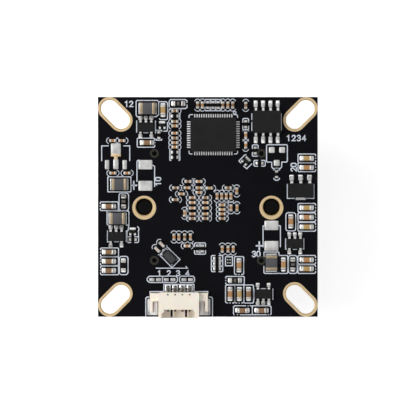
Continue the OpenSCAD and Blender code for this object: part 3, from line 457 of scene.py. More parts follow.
def puddle(pad, grip, rise, corner=0.12, lip=0.03, bend=1.8, steps=5):
    """Solder that starts at a pad's outline and climbs to the outline that it grips."""
    rings = [outline(*pad, corner, 0)]
    for step in range(steps + 1):
        part = step / steps
        box = [a + (b - a) * part for a, b in zip(pad, grip)]
        rings.append(outline(*box, corner * (1 - part) + 0.02 * part,
                             lip + (rise - lip) * part ** bend))
    return skin(rings)


def dome(x0, y0, x1, y1, rise, corner=0.12, steps=5):
    """Solder on a bare pad, drawn up by its own tension to a small flat top."""
    reach = 0.75 * min(x1 - x0, y1 - y0) / 2
    rings = []
    for step in range(steps + 1):
        turn = math.radians(90 * step / steps)
        inset = reach * (1 - math.cos(turn))
        rings.append(outline(x0 + inset, y0 + inset, x1 - inset, y1 - inset, corner,
                             rise * math.sin(turn)))
    return skin(rings)


print("faces of a block, a pool and a dome:",
      [len(shape[1]) for shape in (soft_block(0, 0, 1, 1, 0, 1, 0.1),
                                   puddle((0, 0, 1, 1), (0.2, 0.2, 0.8, 0.8), 0.3),
                                   dome(0, 0, 1, 1, 0.2))])


# %% [markdown]
# Sixty small capacitors could be sixty objects, but they are one kind of part and one
# row in the parts list, so they are one piece. A heap gathers shapes, turns and moves
# each to its place on the board, and builds a single mesh that rides on the module. A
# shape's tone picks one of the heap's finishes, which is how neighbouring chips differ.

# %% A heap of shapes becomes one piece
class Heap:
    """Shapes that become one piece. Heights count from the board's upper face."""

    def __init__(self, name, *materials):
        self.name, self.materials, self.base = name, materials, mask_z / MM
        self.points, self.faces, self.tones = [], [], []

    def add(self, shape, x=0, y=0, turn=0, tone=0):
        """Puts a shape at x and y, turned by degrees, in one tone or in its faces' own."""
        first = len(self.points)
        c, s = math.cos(math.radians(turn)), math.sin(math.radians(turn))
        for px, py, pz in shape[0]:
            self.points.append((x + px * c - py * s, y + px * s + py * c, pz + self.base))
        self.faces += [tuple(first + i for i in face) for face in shape[1]]
        self.tones += shape[2] if len(shape) > 2 else [tone] * len(shape[1])

    def build(self, *replaced, crease=40):
        """Makes the mesh, smooth except at creases, in place of the solids named."""
        mesh = bpy.data.meshes.new(self.name)
        mesh.from_pydata([[v * MM for v in p] for p in self.points], [], self.faces)
        for material in self.materials:
            mesh.materials.append(material)
        mesh.polygons.foreach_set("material_index", self.tones)
        mesh.polygons.foreach_set("use_smooth", [True] * len(self.faces))
        mesh.set_sharp_from_angle(angle=math.radians(crease))
        piece = bpy.data.objects.new(self.name, mesh)
        bpy.context.scene.collection.objects.link(piece)
        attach(piece, "root")
        if replaced:
            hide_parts(*replaced)
        print(self.name, len(self.faces), "faces")


# %% [markdown]
# The peg holes and the corner slots are lined with gold, and the lining folds out over
# both faces as a thin ring. Its rim toward the hole is rounded, so it turns away from
# the light and falls into shade. A bevel would round it with the flat's own gold, so
# the lining is swept from a profile whose rim and wall get a darker gold, with that
# shade painted into its colour.

# %% Gold rings round the holes
def lining(loop, wide, shift=0):
    """A hole's wall and its rings, from a loop that gives points at a reach.

    The profile is reach, height above the board and tone, where tone 1 is the gold with painted shade,
    and shift moves the ring.
    """
    depth = (board_high.z - board_low.z) / MM
    # tone 1, on the rounded rim and the wall, is the gold with painted shade
    half = [(wide, 0, 0), (wide - 0.03, 0.04, 0), (0.16, 0.05, 0), (0.1, 0.045, 1), (0.03, 0.02, 1),
            (0, -0.05, 1)]
    profile = half + [(reach, -depth - z, tone) for reach, z, tone in reversed(half)]
    rings = [[(x, y - shift * reach / wide, z) for x, y in loop(reach)] for reach, z, tone in profile]
    size = len(rings[0])
    points = [p for ring in rings for p in ring]
    faces, tones = [], []
    for level, (reach, z, tone) in enumerate(profile):
        below = (level + 1) % len(rings)
        for i in range(size):
            j = (i + 1) % size
            faces.append((level * size + j, level * size + i, below * size + i, below * size + j))
            tones.append(max(tone, profile[below][2]))
    return points, faces, tones


def round_loop(radius):
    """A circle's points at a reach beyond its radius."""
    turns = [math.radians(a) for a in range(0, 360, 5)]
    return lambda reach: [((radius + reach) * math.cos(t), (radius + reach) * math.sin(t))
                          for t in turns]


def slot_loop(run, radius):
    """The points round a slot that leads up and to the right by run both ways."""
    ends = [(0, t) for t in range(135, 316, 6)] + [(run, t) for t in range(-45, 136, 6)]
    return lambda reach: [(c + (radius + reach) * math.cos(math.radians(t)),
                           c + (radius + reach) * math.sin(math.radians(t))) for c, t in ends]


# a slot's length along each edge, its half width and the place of its inner end
SLOT_RUN, SLOT_HALF, SLOT_INNER = 2, 1.5, 15
rings = Heap("slot_rings", gold_finish, painted_shade_gold)
slot_lining = lining(slot_loop(SLOT_RUN, SLOT_HALF), 0.5)
for i, (x, y) in enumerate(((1, 1), (-1, 1), (-1, -1), (1, -1))):
    rings.add(slot_lining, SLOT_INNER * x, SLOT_INNER * y, 90 * i)
rings.build("slot_lands", crease=30)

# the peg holes' distance from the middle and their radius
PEG_X, PEG_HOLE = 11, 1.45
rings = Heap("peg_rings", gold_finish, painted_shade_gold)
for x in (-PEG_X, PEG_X):
    rings.add(lining(round_loop(PEG_HOLE), 0.62, 0.14), x)
rings.build("peg_hole_lands", crease=30)

# %% [markdown]
# The places of the chips could be typed in a second time, but two lists soon differ,
# and the solids already know where each part sits. Taking one apart into its loose
# islands gives every chip's middle and heading: whichever of the two headings, straight
# or diagonal, wraps the island in the smaller rectangle is the right one.

# %% Where the parts sit
def spots(node):
    """Middle and heading of each separate body in a solid, in mm and degrees."""
    mesh = bmesh.new()
    mesh.from_mesh(nodes[node].data)
    mesh.transform(nodes[node].matrix_world)
    bmesh.ops.remove_doubles(mesh, verts=mesh.verts, dist=TOUCHING)
    left, found = set(mesh.verts), []
    while left:
        island, edge = [], [left.pop()]
        while edge:
            vert = edge.pop()
            island.append((vert.co.x / MM, vert.co.y / MM))
            for link in vert.link_edges:
                other = link.other_vert(vert)
                if other in left:
                    left.remove(other)
                    edge.append(other)
        found.append(place_of(np.array(island)))
    mesh.free()
    return sorted(found, key=lambda spot: (-spot[1], spot[0]))


def place_of(points):
    """Middle and heading of the smallest rectangle round some points."""
    best = None
    for turn in (0, 45):
        c, s = math.cos(math.radians(turn)), math.sin(math.radians(turn))
        along, across = points @ (c, s), points @ (-s, c)
        size = np.ptp(along), np.ptp(across)
        if best is None or size[0] * size[1] < best[0] - 0.001:
            middle = (along.max() + along.min()) / 2, (across.max() + across.min()) / 2
            heading = turn if size[0] >= size[1] else turn + 90
            best = (size[0] * size[1], middle[0] * c - middle[1] * s,
                    middle[0] * s + middle[1] * c, heading)
    return round(best[1], 3), round(best[2], 3), best[3]


small_caps = spots("small_capacitor_bodies")
small_resistors = spots("small_resistor_bodies")
large_caps = spots("large_capacitor_bodies")
large_resistors = spots("large_resistor_body")
beads = spots("bead_bodies")
inductors = spots("inductor_cores")
print("small", len(small_caps), len(small_resistors), "large", len(large_caps),
      "beads", len(beads), "inductors", len(inductors))

# %% [markdown]
# A chip capacitor is a fired ceramic brick whose ends were dipped in metal paste and
# tinned. One block painted in three bands would look flat, because the dip makes
# soft-cornered caps a hair thicker than the brick. So each chip is a brick, two caps
# and two solder slopes that creep up the metal and reach past the ends.

# %% Chips and their solder
# in mm: the underside of a chip or a foot, how far its metal stands out from the brick,
# how far the brick runs into the metal, and how far solder keeps from the metal's edges
SEAT, DIP, LAP, EASE = 0.05, 0.015, 0.03, 0.02


def chip(heaps, spot, size, cap, run, rise, edge, tone=0):
    """One chip: its brick, its two metal ends and the solder that runs out from them."""
    bricks, ends, solder = heaps
    length, width = size[0] / 2, size[1] / 2
    brick = soft_block(cap - length - LAP, DIP - width, length - cap + LAP, width - DIP,
                       SEAT, SEAT + size[2] - DIP, edge / 2)
    end = soft_block(length - cap, -width, length, width, SEAT, SEAT + size[2], edge)
    slope = puddle((length - cap, -width - EASE, length + run, width + EASE),
                   (length - cap + EASE, -width + EASE, length - EASE, width - EASE),
                   rise, corner=run * 0.5)
    x, y, turn = spot
    bricks.add(brick, x, y, turn, tone)
    for side in (0, 180):
        ends.add(end, x, y, turn + side)
        solder.add(slope, x, y, turn + side)


OCHRE, ORANGE, BROWN, PALE = range(4)
SMALL_CAPACITOR = dict(size=(1, 0.5, 0.5), cap=0.25, run=0.12, rise=0.3, edge=0.06)
# X of the column whose chips are all ochre
OCHRE_COLUMN = 0.3
dice = random.Random(5)
clay = Heap("small_ceramics", *clay_finishes)
clay_ends = Heap("small_capacitor_ends", tin_finish)
clay_solder = Heap("small_capacitor_joints", solder_finish)
for spot in small_caps:
    in_column = abs(spot[0] - OCHRE_COLUMN) < 0.1
    tone = OCHRE if in_column else dice.choice((ORANGE, ORANGE, BROWN))
    tone = PALE if spot[2] % 90 else tone
    chip((clay, clay_ends, clay_solder), spot, **SMALL_CAPACITOR, tone=tone)
clay.build("small_capacitor_bodies")
clay_ends.build("small_capacitor_caps")
clay_solder.build("small_capacitor_solder")

# %% [markdown]
# A chip resistor is a flat white tile with a dark glaze over its resistive film. The
# glaze is a thin block of its own rather than a colour on the tile, because it stands
# up from it: from above the chip shows two bright ends with soft-edged black between.

# %% Small resistors
SMALL_RESISTOR = dict(size=(1, 0.5, 0.34), cap=0.21, run=0.16, rise=0.2, edge=0.05)
tiles = Heap("small_tiles", white_finish)
tile_ends = Heap("small_resistor_ends", tin_finish)
tile_solder = Heap("small_resistor_joints", solder_finish)
glaze = Heap("small_glazes", glaze_finish)
glaze_block = soft_block(-0.31, -0.25, 0.31, 0.25, 0.3, 0.41, 0.03)
for spot in small_resistors:
    chip((tiles, tile_ends, tile_solder), spot, **SMALL_RESISTOR)
    glaze.add(glaze_block, *spot)
tiles.build("small_resistor_bodies")
tile_ends.build("small_resistor_caps")
tile_solder.build("small_resistor_solder")
glaze.build("small_resistor_glazes")

# %% [markdown]
# The larger capacitors follow the same plan. Chance could pick their browns too, but
# there are few of them and each is plain to see, so a list says which are ochre and
# which orange, by where they sit, and the rest are brown.

# %% Large capacitors
LARGE_CAPACITOR = dict(size=(1.6, 0.84, 0.8), cap=0.32, run=0.42, rise=0.32, edge=0.13)
LARGE_TONES = {
    OCHRE: ((17.1, 8.4), (17.1, -0.15), (17.1, -3.45), (17.1, -10.7), (5.45, -15.05),
            (-7.75, 16.75)),
    ORANGE: ((17.1, 6.8), (17.1, -1.8), (17.1, -9.15), (14.35, -2.5), (13.05, -9.95),
             (5.4, -10.1), (3.85, -15.05)),
}


def large_tone(spot):
    """The brown of the large capacitor at a spot."""
    for tone, places in LARGE_TONES.items():
        if any(math.dist(place, spot[:2]) < 0.2 for place in places):
            return tone
    return BROWN


joints = Heap("large_chip_joints", solder_finish)
clay = Heap("large_ceramics", *clay_finishes)
clay_ends = Heap("large_capacitor_ends", tin_finish)
for spot in large_caps:
    chip((clay, clay_ends, joints), spot, **LARGE_CAPACITOR, tone=large_tone(spot))
clay.build("large_capacitor_bodies")
clay_ends.build("large_capacitor_caps")

# %% [markdown]
# One large resistor and four ferrite beads share the large capacitors' solder, so all
# their slopes go to one heap. A bead is a black block with a rounder body than a
# capacitor's, and the pale patch in the middle is a painted highlight: a low block in a
# second, greyer finish.

# %% Large resistor and beads
LARGE_RESISTOR = dict(size=(1.6, 0.84, 0.45), cap=0.32, run=0.42, rise=0.26, edge=0.08)
BEAD = dict(size=(1.6, 0.84, 0.8), cap=0.29, run=0.4, rise=0.35, edge=0.12)
tile = Heap("large_tile", white_finish)
tile_ends = Heap("large_resistor_ends", tin_finish)
glaze = Heap("large_glaze", glaze_finish)
for spot in large_resistors:
    chip((tile, tile_ends, joints), spot, **LARGE_RESISTOR)
    glaze.add(soft_block(-0.49, -0.41, 0.49, 0.41, 0.4, 0.52, 0.04), *spot)
tile.build("large_resistor_body")
tile_ends.build("large_resistor_caps")
glaze.build("large_resistor_glaze")

cores = Heap("bead_cores", ferrite_finish, bead_highlight_finish)
bead_ends = Heap("bead_ends", tin_finish)
bead_block = soft_block(-0.46, -0.42, 0.46, 0.42, 0.05, 0.85, 0.12, 0.3)
# a low pale block on the bead's top: painted highlight
bead_painted_highlight = soft_block(-0.2, -0.33, 0.2, 0.33, 0.8, 0.87, 0.02, 0.16)
for spot in beads:
    chip((cores, bead_ends, joints), spot, **BEAD)
    cores.add(bead_block, *spot)
    cores.add(bead_painted_highlight, *spot, tone=1)
cores.build("bead_bodies")
bead_ends.build("bead_caps")
joints.build("large_chip_solder")

# %% [markdown]
# A moulded power inductor is a pressed block of iron powder. Its wire ends come out as
# flat strips folded up over both ends, which look tan where the tin is worn thin. The
# strips could be a colour on the block, but they catch the light as a step, so each
# wraps its end as a block a hair larger than the core.

# %% Power inductors
core = soft_block(-1.2, -1, 1.2, 1, 0.08, 1.22, 0.1)
strip = soft_block(0.8, -0.98, 1.25, 0.98, 0.05, 1.26, 0.06)
slope = puddle((0.9, -1.02, 1.54, 1.02), (1.0, -0.96, 1.22, 0.96), 0.6, corner=0.1)
cores = Heap("inductor_blocks", core_finish)
strips = Heap("inductor_strips", end_finish)
joints = Heap("inductor_joints", solder_finish)
for x, y, turn in inductors:
    cores.add(core, x, y, turn)
    for side in (0, 180):
        strips.add(strip, x, y, turn + side)
        joints.add(slope, x, y, turn + side)
cores.build("inductor_cores")
strips.build("inductor_terminals")
joints.build("inductor_solder")

# %% [markdown]
# Every lead stands in its own small pool of solder, with a hollow slope at the toe. An
# array modifier could repeat a pool, but a chip has rows that face four ways, so each
# chip states its rows as places with a heading, and one shape stands at each. The
# controller's package has no bent leads: its terminals end at the edge of the resin.

# %% Rows of feet
def moved(shape, x, y, turn=0):
    """A shape moved within its part before the part is placed."""
    c, s = math.cos(math.radians(turn)), math.sin(math.radians(turn))
    points = [(x + px * c - py * s, y + px * s + py * c, pz) for px, py, pz in shape[0]]
    return (points, *shape[1:])


def stand(heap, spot, feet, shape):
    """The same shape at each foot: its place on the part and the way that it points."""
    for x, y, turn in feet:
        heap.add(moved(shape, x, y, turn), *spot)


def rows(count, pitch, reach, ends=False):
    """Two facing rows of feet, above and below the middle or at its two ends."""
    steps = [(side, side * pitch * (i - (count - 1) / 2)) for side in (1, -1) for i in range(count)]
    if ends:
        return [(side * reach, along, 90 - 90 * side) for side, along in steps]
    return [(along, side * reach, 90 * side) for side, along in steps]


controller = spots("controller_body")[0]
heap = Heap("controller_joints", nail_finish)
toe = puddle((-0.42, -0.11, 0.62, 0.11), (-0.4, -0.07, 0.5, 0.07), 0.13, corner=0.1, bend=0.8)
stand(heap, controller, rows(12, 0.4, 3.95, ends=True) + rows(17, 0.4, 2.95), toe)
heap.build("controller_solder")

# %% [markdown]
# A bent lead leaves the resin level, turns down and lies flat on its pad. Seen from
# above its shoulder and foot are bright and the steep bend between them is dark, so
# the bend's faces get a dark metal with that shade painted into its colour. A curve
# with a thickness could be bent like this, but its faces would share one finish, so
# the strip is built from its side view, and each face's slope picks its tone.

# %% Bent leads
def bent_lead(shoulder, drop, foot, half, height, thick=0.16):
    """A strip that runs level, bends down and lies flat, with each face's tone: painted shade where it
    is steep.
    """
    ankle = shoulder + drop
    line = [(-0.1, height), (shoulder - 0.06, height), (shoulder, height - 0.06),
            (shoulder + drop * 0.6, height * 0.4), (ankle, thick + 0.1),
            (ankle + 0.08, thick + SEAT), (foot - 0.03, thick + SEAT), (foot, thick)]
    points, faces, tones = [], [(0, 1, 2, 3)], [0]
    for reach, z in line:
        points += [(reach, -half, z), (reach, half, z), (reach, half, z - thick),
                   (reach, -half, z - thick)]
    for k in range(len(line) - 1):
        steep = line[k][1] - line[k + 1][1] > line[k + 1][0] - line[k][0]
        for i in range(4):
            j = (i + 1) % 4
            faces.append((4 * k + j, 4 * k + i, 4 * k + 4 + i, 4 * k + 4 + j))
            # tone 1, on the steep faces, is the painted shade of the bend
            tones.append(1 if steep else 0)
    last = 4 * (len(line) - 1)
    faces.append((last + 3, last + 2, last + 1, last))
    tones.append(0)
    return points, faces, tones


lead = bent_lead(0.26, 0.08, 0.7, 0.2, 0.62)
print("lead", len(lead[1]), "faces,", sum(lead[2]), "of them on the bend")

# %% [markdown]
# The memory chip has four leads along each long side, and each of the four switching
# regulators has three on one side and two on the other. A foot is a place and a
# heading, so the pools and the leads are set from one list and always agree.

# %% Memory chip and regulators
memory = (*spots("memory_body")[0][:2], 0)
feet = rows(4, 1.27, 1.95)
heap = Heap("memory_joints", solder_finish)
stand(heap, memory, feet, puddle((0.56, -0.32, 1.75, 0.32), (0.72, -0.2, 1.3, 0.2), 0.24, corner=0.14))
heap.build("memory_solder")
strips = Heap("memory_strips", nail_finish, bend_shade_finish)
stand(strips, memory, feet, bent_lead(0.46, 0.12, 1.3, 0.2, 0.9))
strips.build("memory_leads", crease=50)

# the regulator near the board's lower edge stands the other way round
regulators = [(x, y, 180 if y < -12 else 0) for x, y, turn in spots("regulator_bodies")]
feet = [(x, y * 0.85, 90 * y) for x, y in ((-0.95, 1), (0, 1), (0.95, 1), (-0.95, -1), (0.95, -1))]
toe = puddle((0.34, -0.31, 1.06, 0.31), (0.44, -0.2, 0.7, 0.2), 0.24, corner=0.14)
heap = Heap("regulator_joints", solder_finish)
strips = Heap("regulator_strips", nail_finish, bend_shade_finish)
for spot in regulators:
    stand(heap, spot, feet, toe)
    stand(strips, spot, feet, lead)
heap.build("regulator_solder")
strips.build("regulator_leads", crease=50)

# %% [markdown]
# The linear regulator sheds more heat than the others, so its middle pad comes out at
# the back as a wide tab. The tab is the same bent strip as a lead, only wider.

# %% Linear regulator
linear = (16.05, 2.85, 0)
feet = [(x, 1.25, 90) for x in (-1.55, 0, 1.55)]
tab_foot = [(0, -1.25, -90)]
heap = Heap("linear_joints", solder_finish)
stand(heap, linear, feet, puddle((0.44, -0.38, 1.45, 0.38), (0.56, -0.24, 1.05, 0.24), 0.3, corner=0.14))
stand(heap, linear, tab_foot, puddle((0.1, -0.9, 0.44, 0.9), (0.12, -0.84, 0.35, 0.84), 0.4))
heap.build("linear_solder")
strips = Heap("linear_strips", nail_finish, bend_shade_finish)
stand(strips, linear, feet, bent_lead(0.34, 0.1, 1.05, 0.24, 0.85))
stand(strips, linear, tab_foot, bent_lead(0.1, 0.04, 0.33, 0.8, 0.5))
strips.build("linear_leads", crease=50)

# %% [markdown]
# The three smallest transistors have no bent leads: metal pads under a tiny block, one
# long pad facing two short ones. The pads can't be seen, so only the solder that shows
# past the block on both sides is made.

# %% Small transistors
TRANSISTORS = ((-7.9, 14.15, 0), (-13, -4.25, 0), (6.6, 7.95, -45))
blocks = Heap("transistor_blocks", resin_finish)
heap = Heap("transistor_joints", solder_finish)
long_toe = puddle((-0.1, -0.54, 0.4, 0.54), (-0.1, -0.5, 0.02, 0.5), 0.24)
short_toe = puddle((-0.1, -0.19, 0.4, 0.19), (-0.1, -0.16, 0.02, 0.16), 0.24)
for spot in TRANSISTORS:
    blocks.add(soft_block(-0.5, -0.28, 0.5, 0.28, 0.05, 0.5, 0.05), *spot)
    stand(heap, spot, [(0, 0.28, 90)], long_toe)
    stand(heap, spot, [(-0.4, -0.28, -90), (0.4, -0.28, -90)], short_toe)
blocks.build("transistor_bodies")
heap.build("transistor_solder")

# %% [markdown]
# The crystal's ceramic tray and metal lid are the solids, dressed above. Only the
# solder is new: it rises in the notches at the tray's four corners.

# %% Crystal
crystal = (-6.6, -8.7, -45)
corner_pool = puddle((-0.22, -0.16, 0.12, 0.16), (-0.16, -0.1, 0, 0.1), 0.3, corner=0.1)
heap = Heap("crystal_joints", solder_finish)
stand(heap, crystal, [(1.2, 0.6, 0), (1.2, -0.6, 0), (-1.2, 0.6, 180), (-1.2, -0.6, 180)], corner_pool)
heap.build("crystal_solder")

# %% [markdown]
# Behind the socket each contact ends in a flat tail under solder. Beside it, a pressed
# nail holds each end of the housing to the board: an L of sheet lies in solder, and a
# bar stands up in the housing's bay. Sheet this thin has nearly square corners, so the
# nails are soft blocks with a very small edge. The contacts' roots show as dark spots
# through the roof: small blocks in the contacts' dark metal, whose colour is painted shade.

# %% Socket tails, nails and contact roots
# X of the socket's middle and its contacts' spacing
SOCKET_X, CONTACT_PITCH = -5, 1.25
contact_x = [SOCKET_X + CONTACT_PITCH * (i - 1.5) for i in range(4)]
heap = Heap("socket_joints", tail_finish, solder_finish)
tail = puddle((-0.8, -0.5, 0.5, 0.5), (-0.75, -0.17, 0.05, 0.17), 0.4, corner=0.15)
for x in contact_x:
    heap.add(moved(tail, 0, 0, 90), x, -13.95)


def nail_block(side, x0, x1, back, low, high, edge, corner=None, front=-18.64):
    """A soft block at the socket's right end, or its mirror image at the left."""
    left, right = sorted((x0 * side, x1 * side))
    return soft_block(left, front, right, back, low, high, edge, corner)


nails = Heap("socket_nails", nail_finish)
for side in (1, -1):
    for x0, x1, back in ((3.55, 5.36, -17.95), (5.02, 5.42, -15.9)):
        pad = nail_block(side, x0, x1, back, 0, 0.1, 0.04, 0.12, front=-18.72)
        heap.add(pad, SOCKET_X, tone=1)
    # the foot's two arms, the bar in the bay and the riser that carries it
    arm_end = 5.38 if side > 0 else 5.42
    for sheet in ((5.02, arm_end, -15.95, 0.1, 0.34, 0.06), (3.54, 5.3, -18.0, 0.1, 0.34, 0.06),
                  (3.69, 4.34, -16.3, 1.5, 1.75, 0.08), (3.69, 4.34, -18.4, 0.2, 1.7, 0.06)):
        nails.add(nail_block(side, *sheet), SOCKET_X)
heap.build("connector_solder")
nails.build("connector_nails")
# dark blocks where the contacts' roots show through the roof: painted shade
roots = Heap("contact_roots_painted_shade", contact_shade_finish)
for x in contact_x:
    roots.add(soft_block(x - 0.13, -15.18, x + 0.13, -14.97, 2.92, 3.3, 0.03))
roots.build()

# %% [markdown]
# Bare pads were coated with solder and left empty. Flat tiles would be either all
# bright or all dark from above. The real coat draws up into a low cushion, so each pad
# is a dome whose slopes catch the lamps even where no part was fitted.

# %% Empty pads
# left, bottom, width and length of each pad, then those behind the socket
EMPTY_PADS = [(-12, 6.5, 2.4, 1.6), (-12, 2.8, 2.4, 1.7), (9.8, -4, 2.4, 1.6), (9.8, -7.6, 2.4, 1.7),
              (-16.75, 9.1, 1.7, 1.9), (-16.35, 6.5, 0.9, 1.75), (-17.8, 6.5, 0.75, 1.6),
              (-14.75, 6.5, 0.75, 1.6), (10.55, 9.35, 1, 1), (12.35, 9.35, 1, 1), (11.4, 7.1, 1, 1)]
EMPTY_PADS += [(x + s * 0.58 - 0.43, -12.88, 0.86, 0.56) for x in (-9.1, -6.6, -3.55) for s in (-1, 1)]
heap = Heap("empty_pads", pad_finish, gold_finish)
for x, y, w, l in EMPTY_PADS:
    heap.add(dome(0, 0, w, l, 0.13), x, y)
# bare gold under and beside the widest pad, where the coat stops short
for x0, y0, x1, y1 in ((-16.75, 8.72, -15.05, 9.15), (-16.2, 8.2, -15.6, 8.8)):
    heap.add(soft_block(x0, y0, x1, y1, 0, 0.03, 0.01), tone=1)
# a tiny place with four balls of solder
ball = dome(-0.13, -0.13, 0.13, 0.13, 0.1, corner=0.13)
for x in (-0.21, 0.21):
    for y in (-0.26, 0.26):
        heap.add(ball, 3.65 + x, -9.4 + y)
heap.build("bare_pads")

# %% [markdown]
# The white legend is ink pressed through a screen, so every line has one width and
# round ends. It could be painted into the board's material, but then it would have no
# thickness, and a curve object would need converting. A stroke follows its points with
# a low, bevelled ribbon that narrows round at each open end, and mitres at its turns.

# %% Strokes of ink
# half the width of a line and the thickness of the ink, in mm
PEN, INK_HEIGHT = 0.085, 0.02


def stroke(points, closed=False, pen=PEN):
    """A ribbon of ink along some points."""
    path = [Vector(p) for p in points]
    count = len(path)
    stations = []
    for i, here in enumerate(path):
        before = (here - path[i - 1]).normalized() if closed or i else None
        after = (path[(i + 1) % count] - here).normalized() if closed or i < count - 1 else None
        before, after = before or after, after or before
        along = (before + after).normalized()
        widen = 1 / max(along.dot(after), 0.5)
        stations.append((here, along, pen * widen))
    if not closed:
        for end, sign in ((0, -1), (-1, 1)):
            here, along, _ = stations[end]
            round_end = [(here + along * sign * pen * math.sin(math.radians(a)), along,
                          pen * math.cos(math.radians(a))) for a in (30, 60, 85)]
            stations = round_end[::-1] + stations if end == 0 else stations + round_end
    ring_points = []
    for here, along, half in stations:
        side = Vector((-along.y, along.x))
        for reach, z in ((1, 0), (0.85, INK_HEIGHT), (-0.85, INK_HEIGHT), (-1, 0)):
            spot = here + side * half * reach
            ring_points.append((spot.x, spot.y, z))
    faces = []
    total = len(stations)
    for k in range(total if closed else total - 1):
        a, b = k * 4, ((k + 1) % total) * 4
        for i in range(4):
            j = (i + 1) % 4
            faces.append((a + j, a + i, b + i, b + j))
    if not closed:
        last = (total - 1) * 4
        faces += [(0, 1, 2, 3), (last + 3, last + 2, last + 1, last)]
    return ring_points, faces


dash = stroke([(0, 0), (1, 0)])
print("a straight stroke has", len(dash[0]), "points and", len(dash[1]), "faces")

# %% [markdown]
# Each small chip has a mark at both ends: an arc for a capacitor and a bracket for most
# resistors. The marks are drawn once beside a chip at rest, then turned with it.

# %% Marks at the small chips
ARC = [(0.72, 0.5), (0.94, 0.34), (1.05, 0.12), (1.05, -0.12), (0.94, -0.34), (0.72, -0.5)]
LONG = [(0.34, 0.5), (0.84, 0.5), (0.98, 0.36), (0.98, -0.36), (0.84, -0.5), (0.34, -0.5)]
SHORT = [(0.68, 0.5), (0.86, 0.44), (0.86, -0.44), (0.68, -0.5)]
ink = Heap("legend", ink_finish)


def at_both_ends(spot, mark, pen=PEN):
    """The same stroke at both ends of a chip."""
    for side in (0, 180):
        ink.add(moved(stroke(mark, pen=pen), 0, 0, side), *spot)


def resistor_mark(x, y):
    """Arcs at the right edge, short brackets at the upper left and long ones elsewhere."""
    if x > 11:
        return ARC
    return SHORT if x < -5 and y > 8 else LONG


for spot in small_caps:
    at_both_ends(spot, ARC, pen=0.06)
for spot in small_resistors:
    at_both_ends(spot, resistor_mark(*spot[:2]))
print("arcs and brackets", len(ink.faces))

# %% [markdown]
# Larger parts have printed frames. Some are closed, with sharp or round corners, and the
# frame of a large chip is left open at one end, with a dot in the opening. A frame is a
# stroke along the same rounded outline that the chips are stacked from.

# %% Frames
# corner radius, and each frame's left, bottom, right and top
CLOSED = (
    (0.12, ((-17.3, 2.6, -13.3, 5.2), (12.3, -11.5, 13.8, -8.4))),
    (0.4, ((-15.3, -11.72, -13.8, -8.55), (13.95, -11.5, 15.45, -8.4), (-15.35, -0.65, -13.7, 2.4),
           (13.5, -4.15, 15.2, -1))),
)
for radius, boxes in CLOSED:
    for x0, y0, x1, y1 in boxes:
        ink.add(stroke([p[:2] for p in outline(x0, y0, x1, y1, radius, 0)], closed=True))


def open_frame(length, width, gap=0.42):
    """A frame open at its right end, with a dot in the opening."""
    x, y = length / 2, width / 2
    upper = [(x - 0.02, gap), (x, gap + 0.14), (x - 0.14, y), (0.12 - x, y), (-x, y - 0.12)]
    return [stroke(upper + [(px, -py) for px, py in upper[::-1]]), stroke([(x, 0.03), (x, -0.03)])]


# length, width, and the places with the way that the open end points
for length, width, places in (
    (3.05, 1.5, [(17.12, y, 0) for y in (8.4, 6.85, -0.15, -1.8, -3.45, -9.15, -10.75)]),
    (3.12, 1.5, [(-17, y, 180) for y in (-7.85, -9.4, -10.98)] + [(-17.05, 0.12, 180)]),
    (3.05, 1.55, [(-10.68, 11.1, 0)]),
    (3.1, 1.6, [(3.87, -15.07, -90), (5.44, -15.07, -90), (5.4, -10.15, -90)]),
    (3.2, 1.4, [(4.7, -12.72, 180)]),
):
    for place in places:
        for shape in open_frame(length, width):
            ink.add(shape, *place)
print("frames", len(ink.faces))

# %% [markdown]
# The rest of the legend is single strokes. They follow no rule that a loop could use,
# so they are listed as points in the order that a pen would draw them, a group to each
# cell. The first group is round the large chips and inductors.

# %% Strokes round large parts
def draw(strokes):
    """Adds each line of points to the ink."""
    for points in strokes:
        ink.add(stroke(points))
    print("strokes", len(strokes), "faces so far", len(ink.faces))


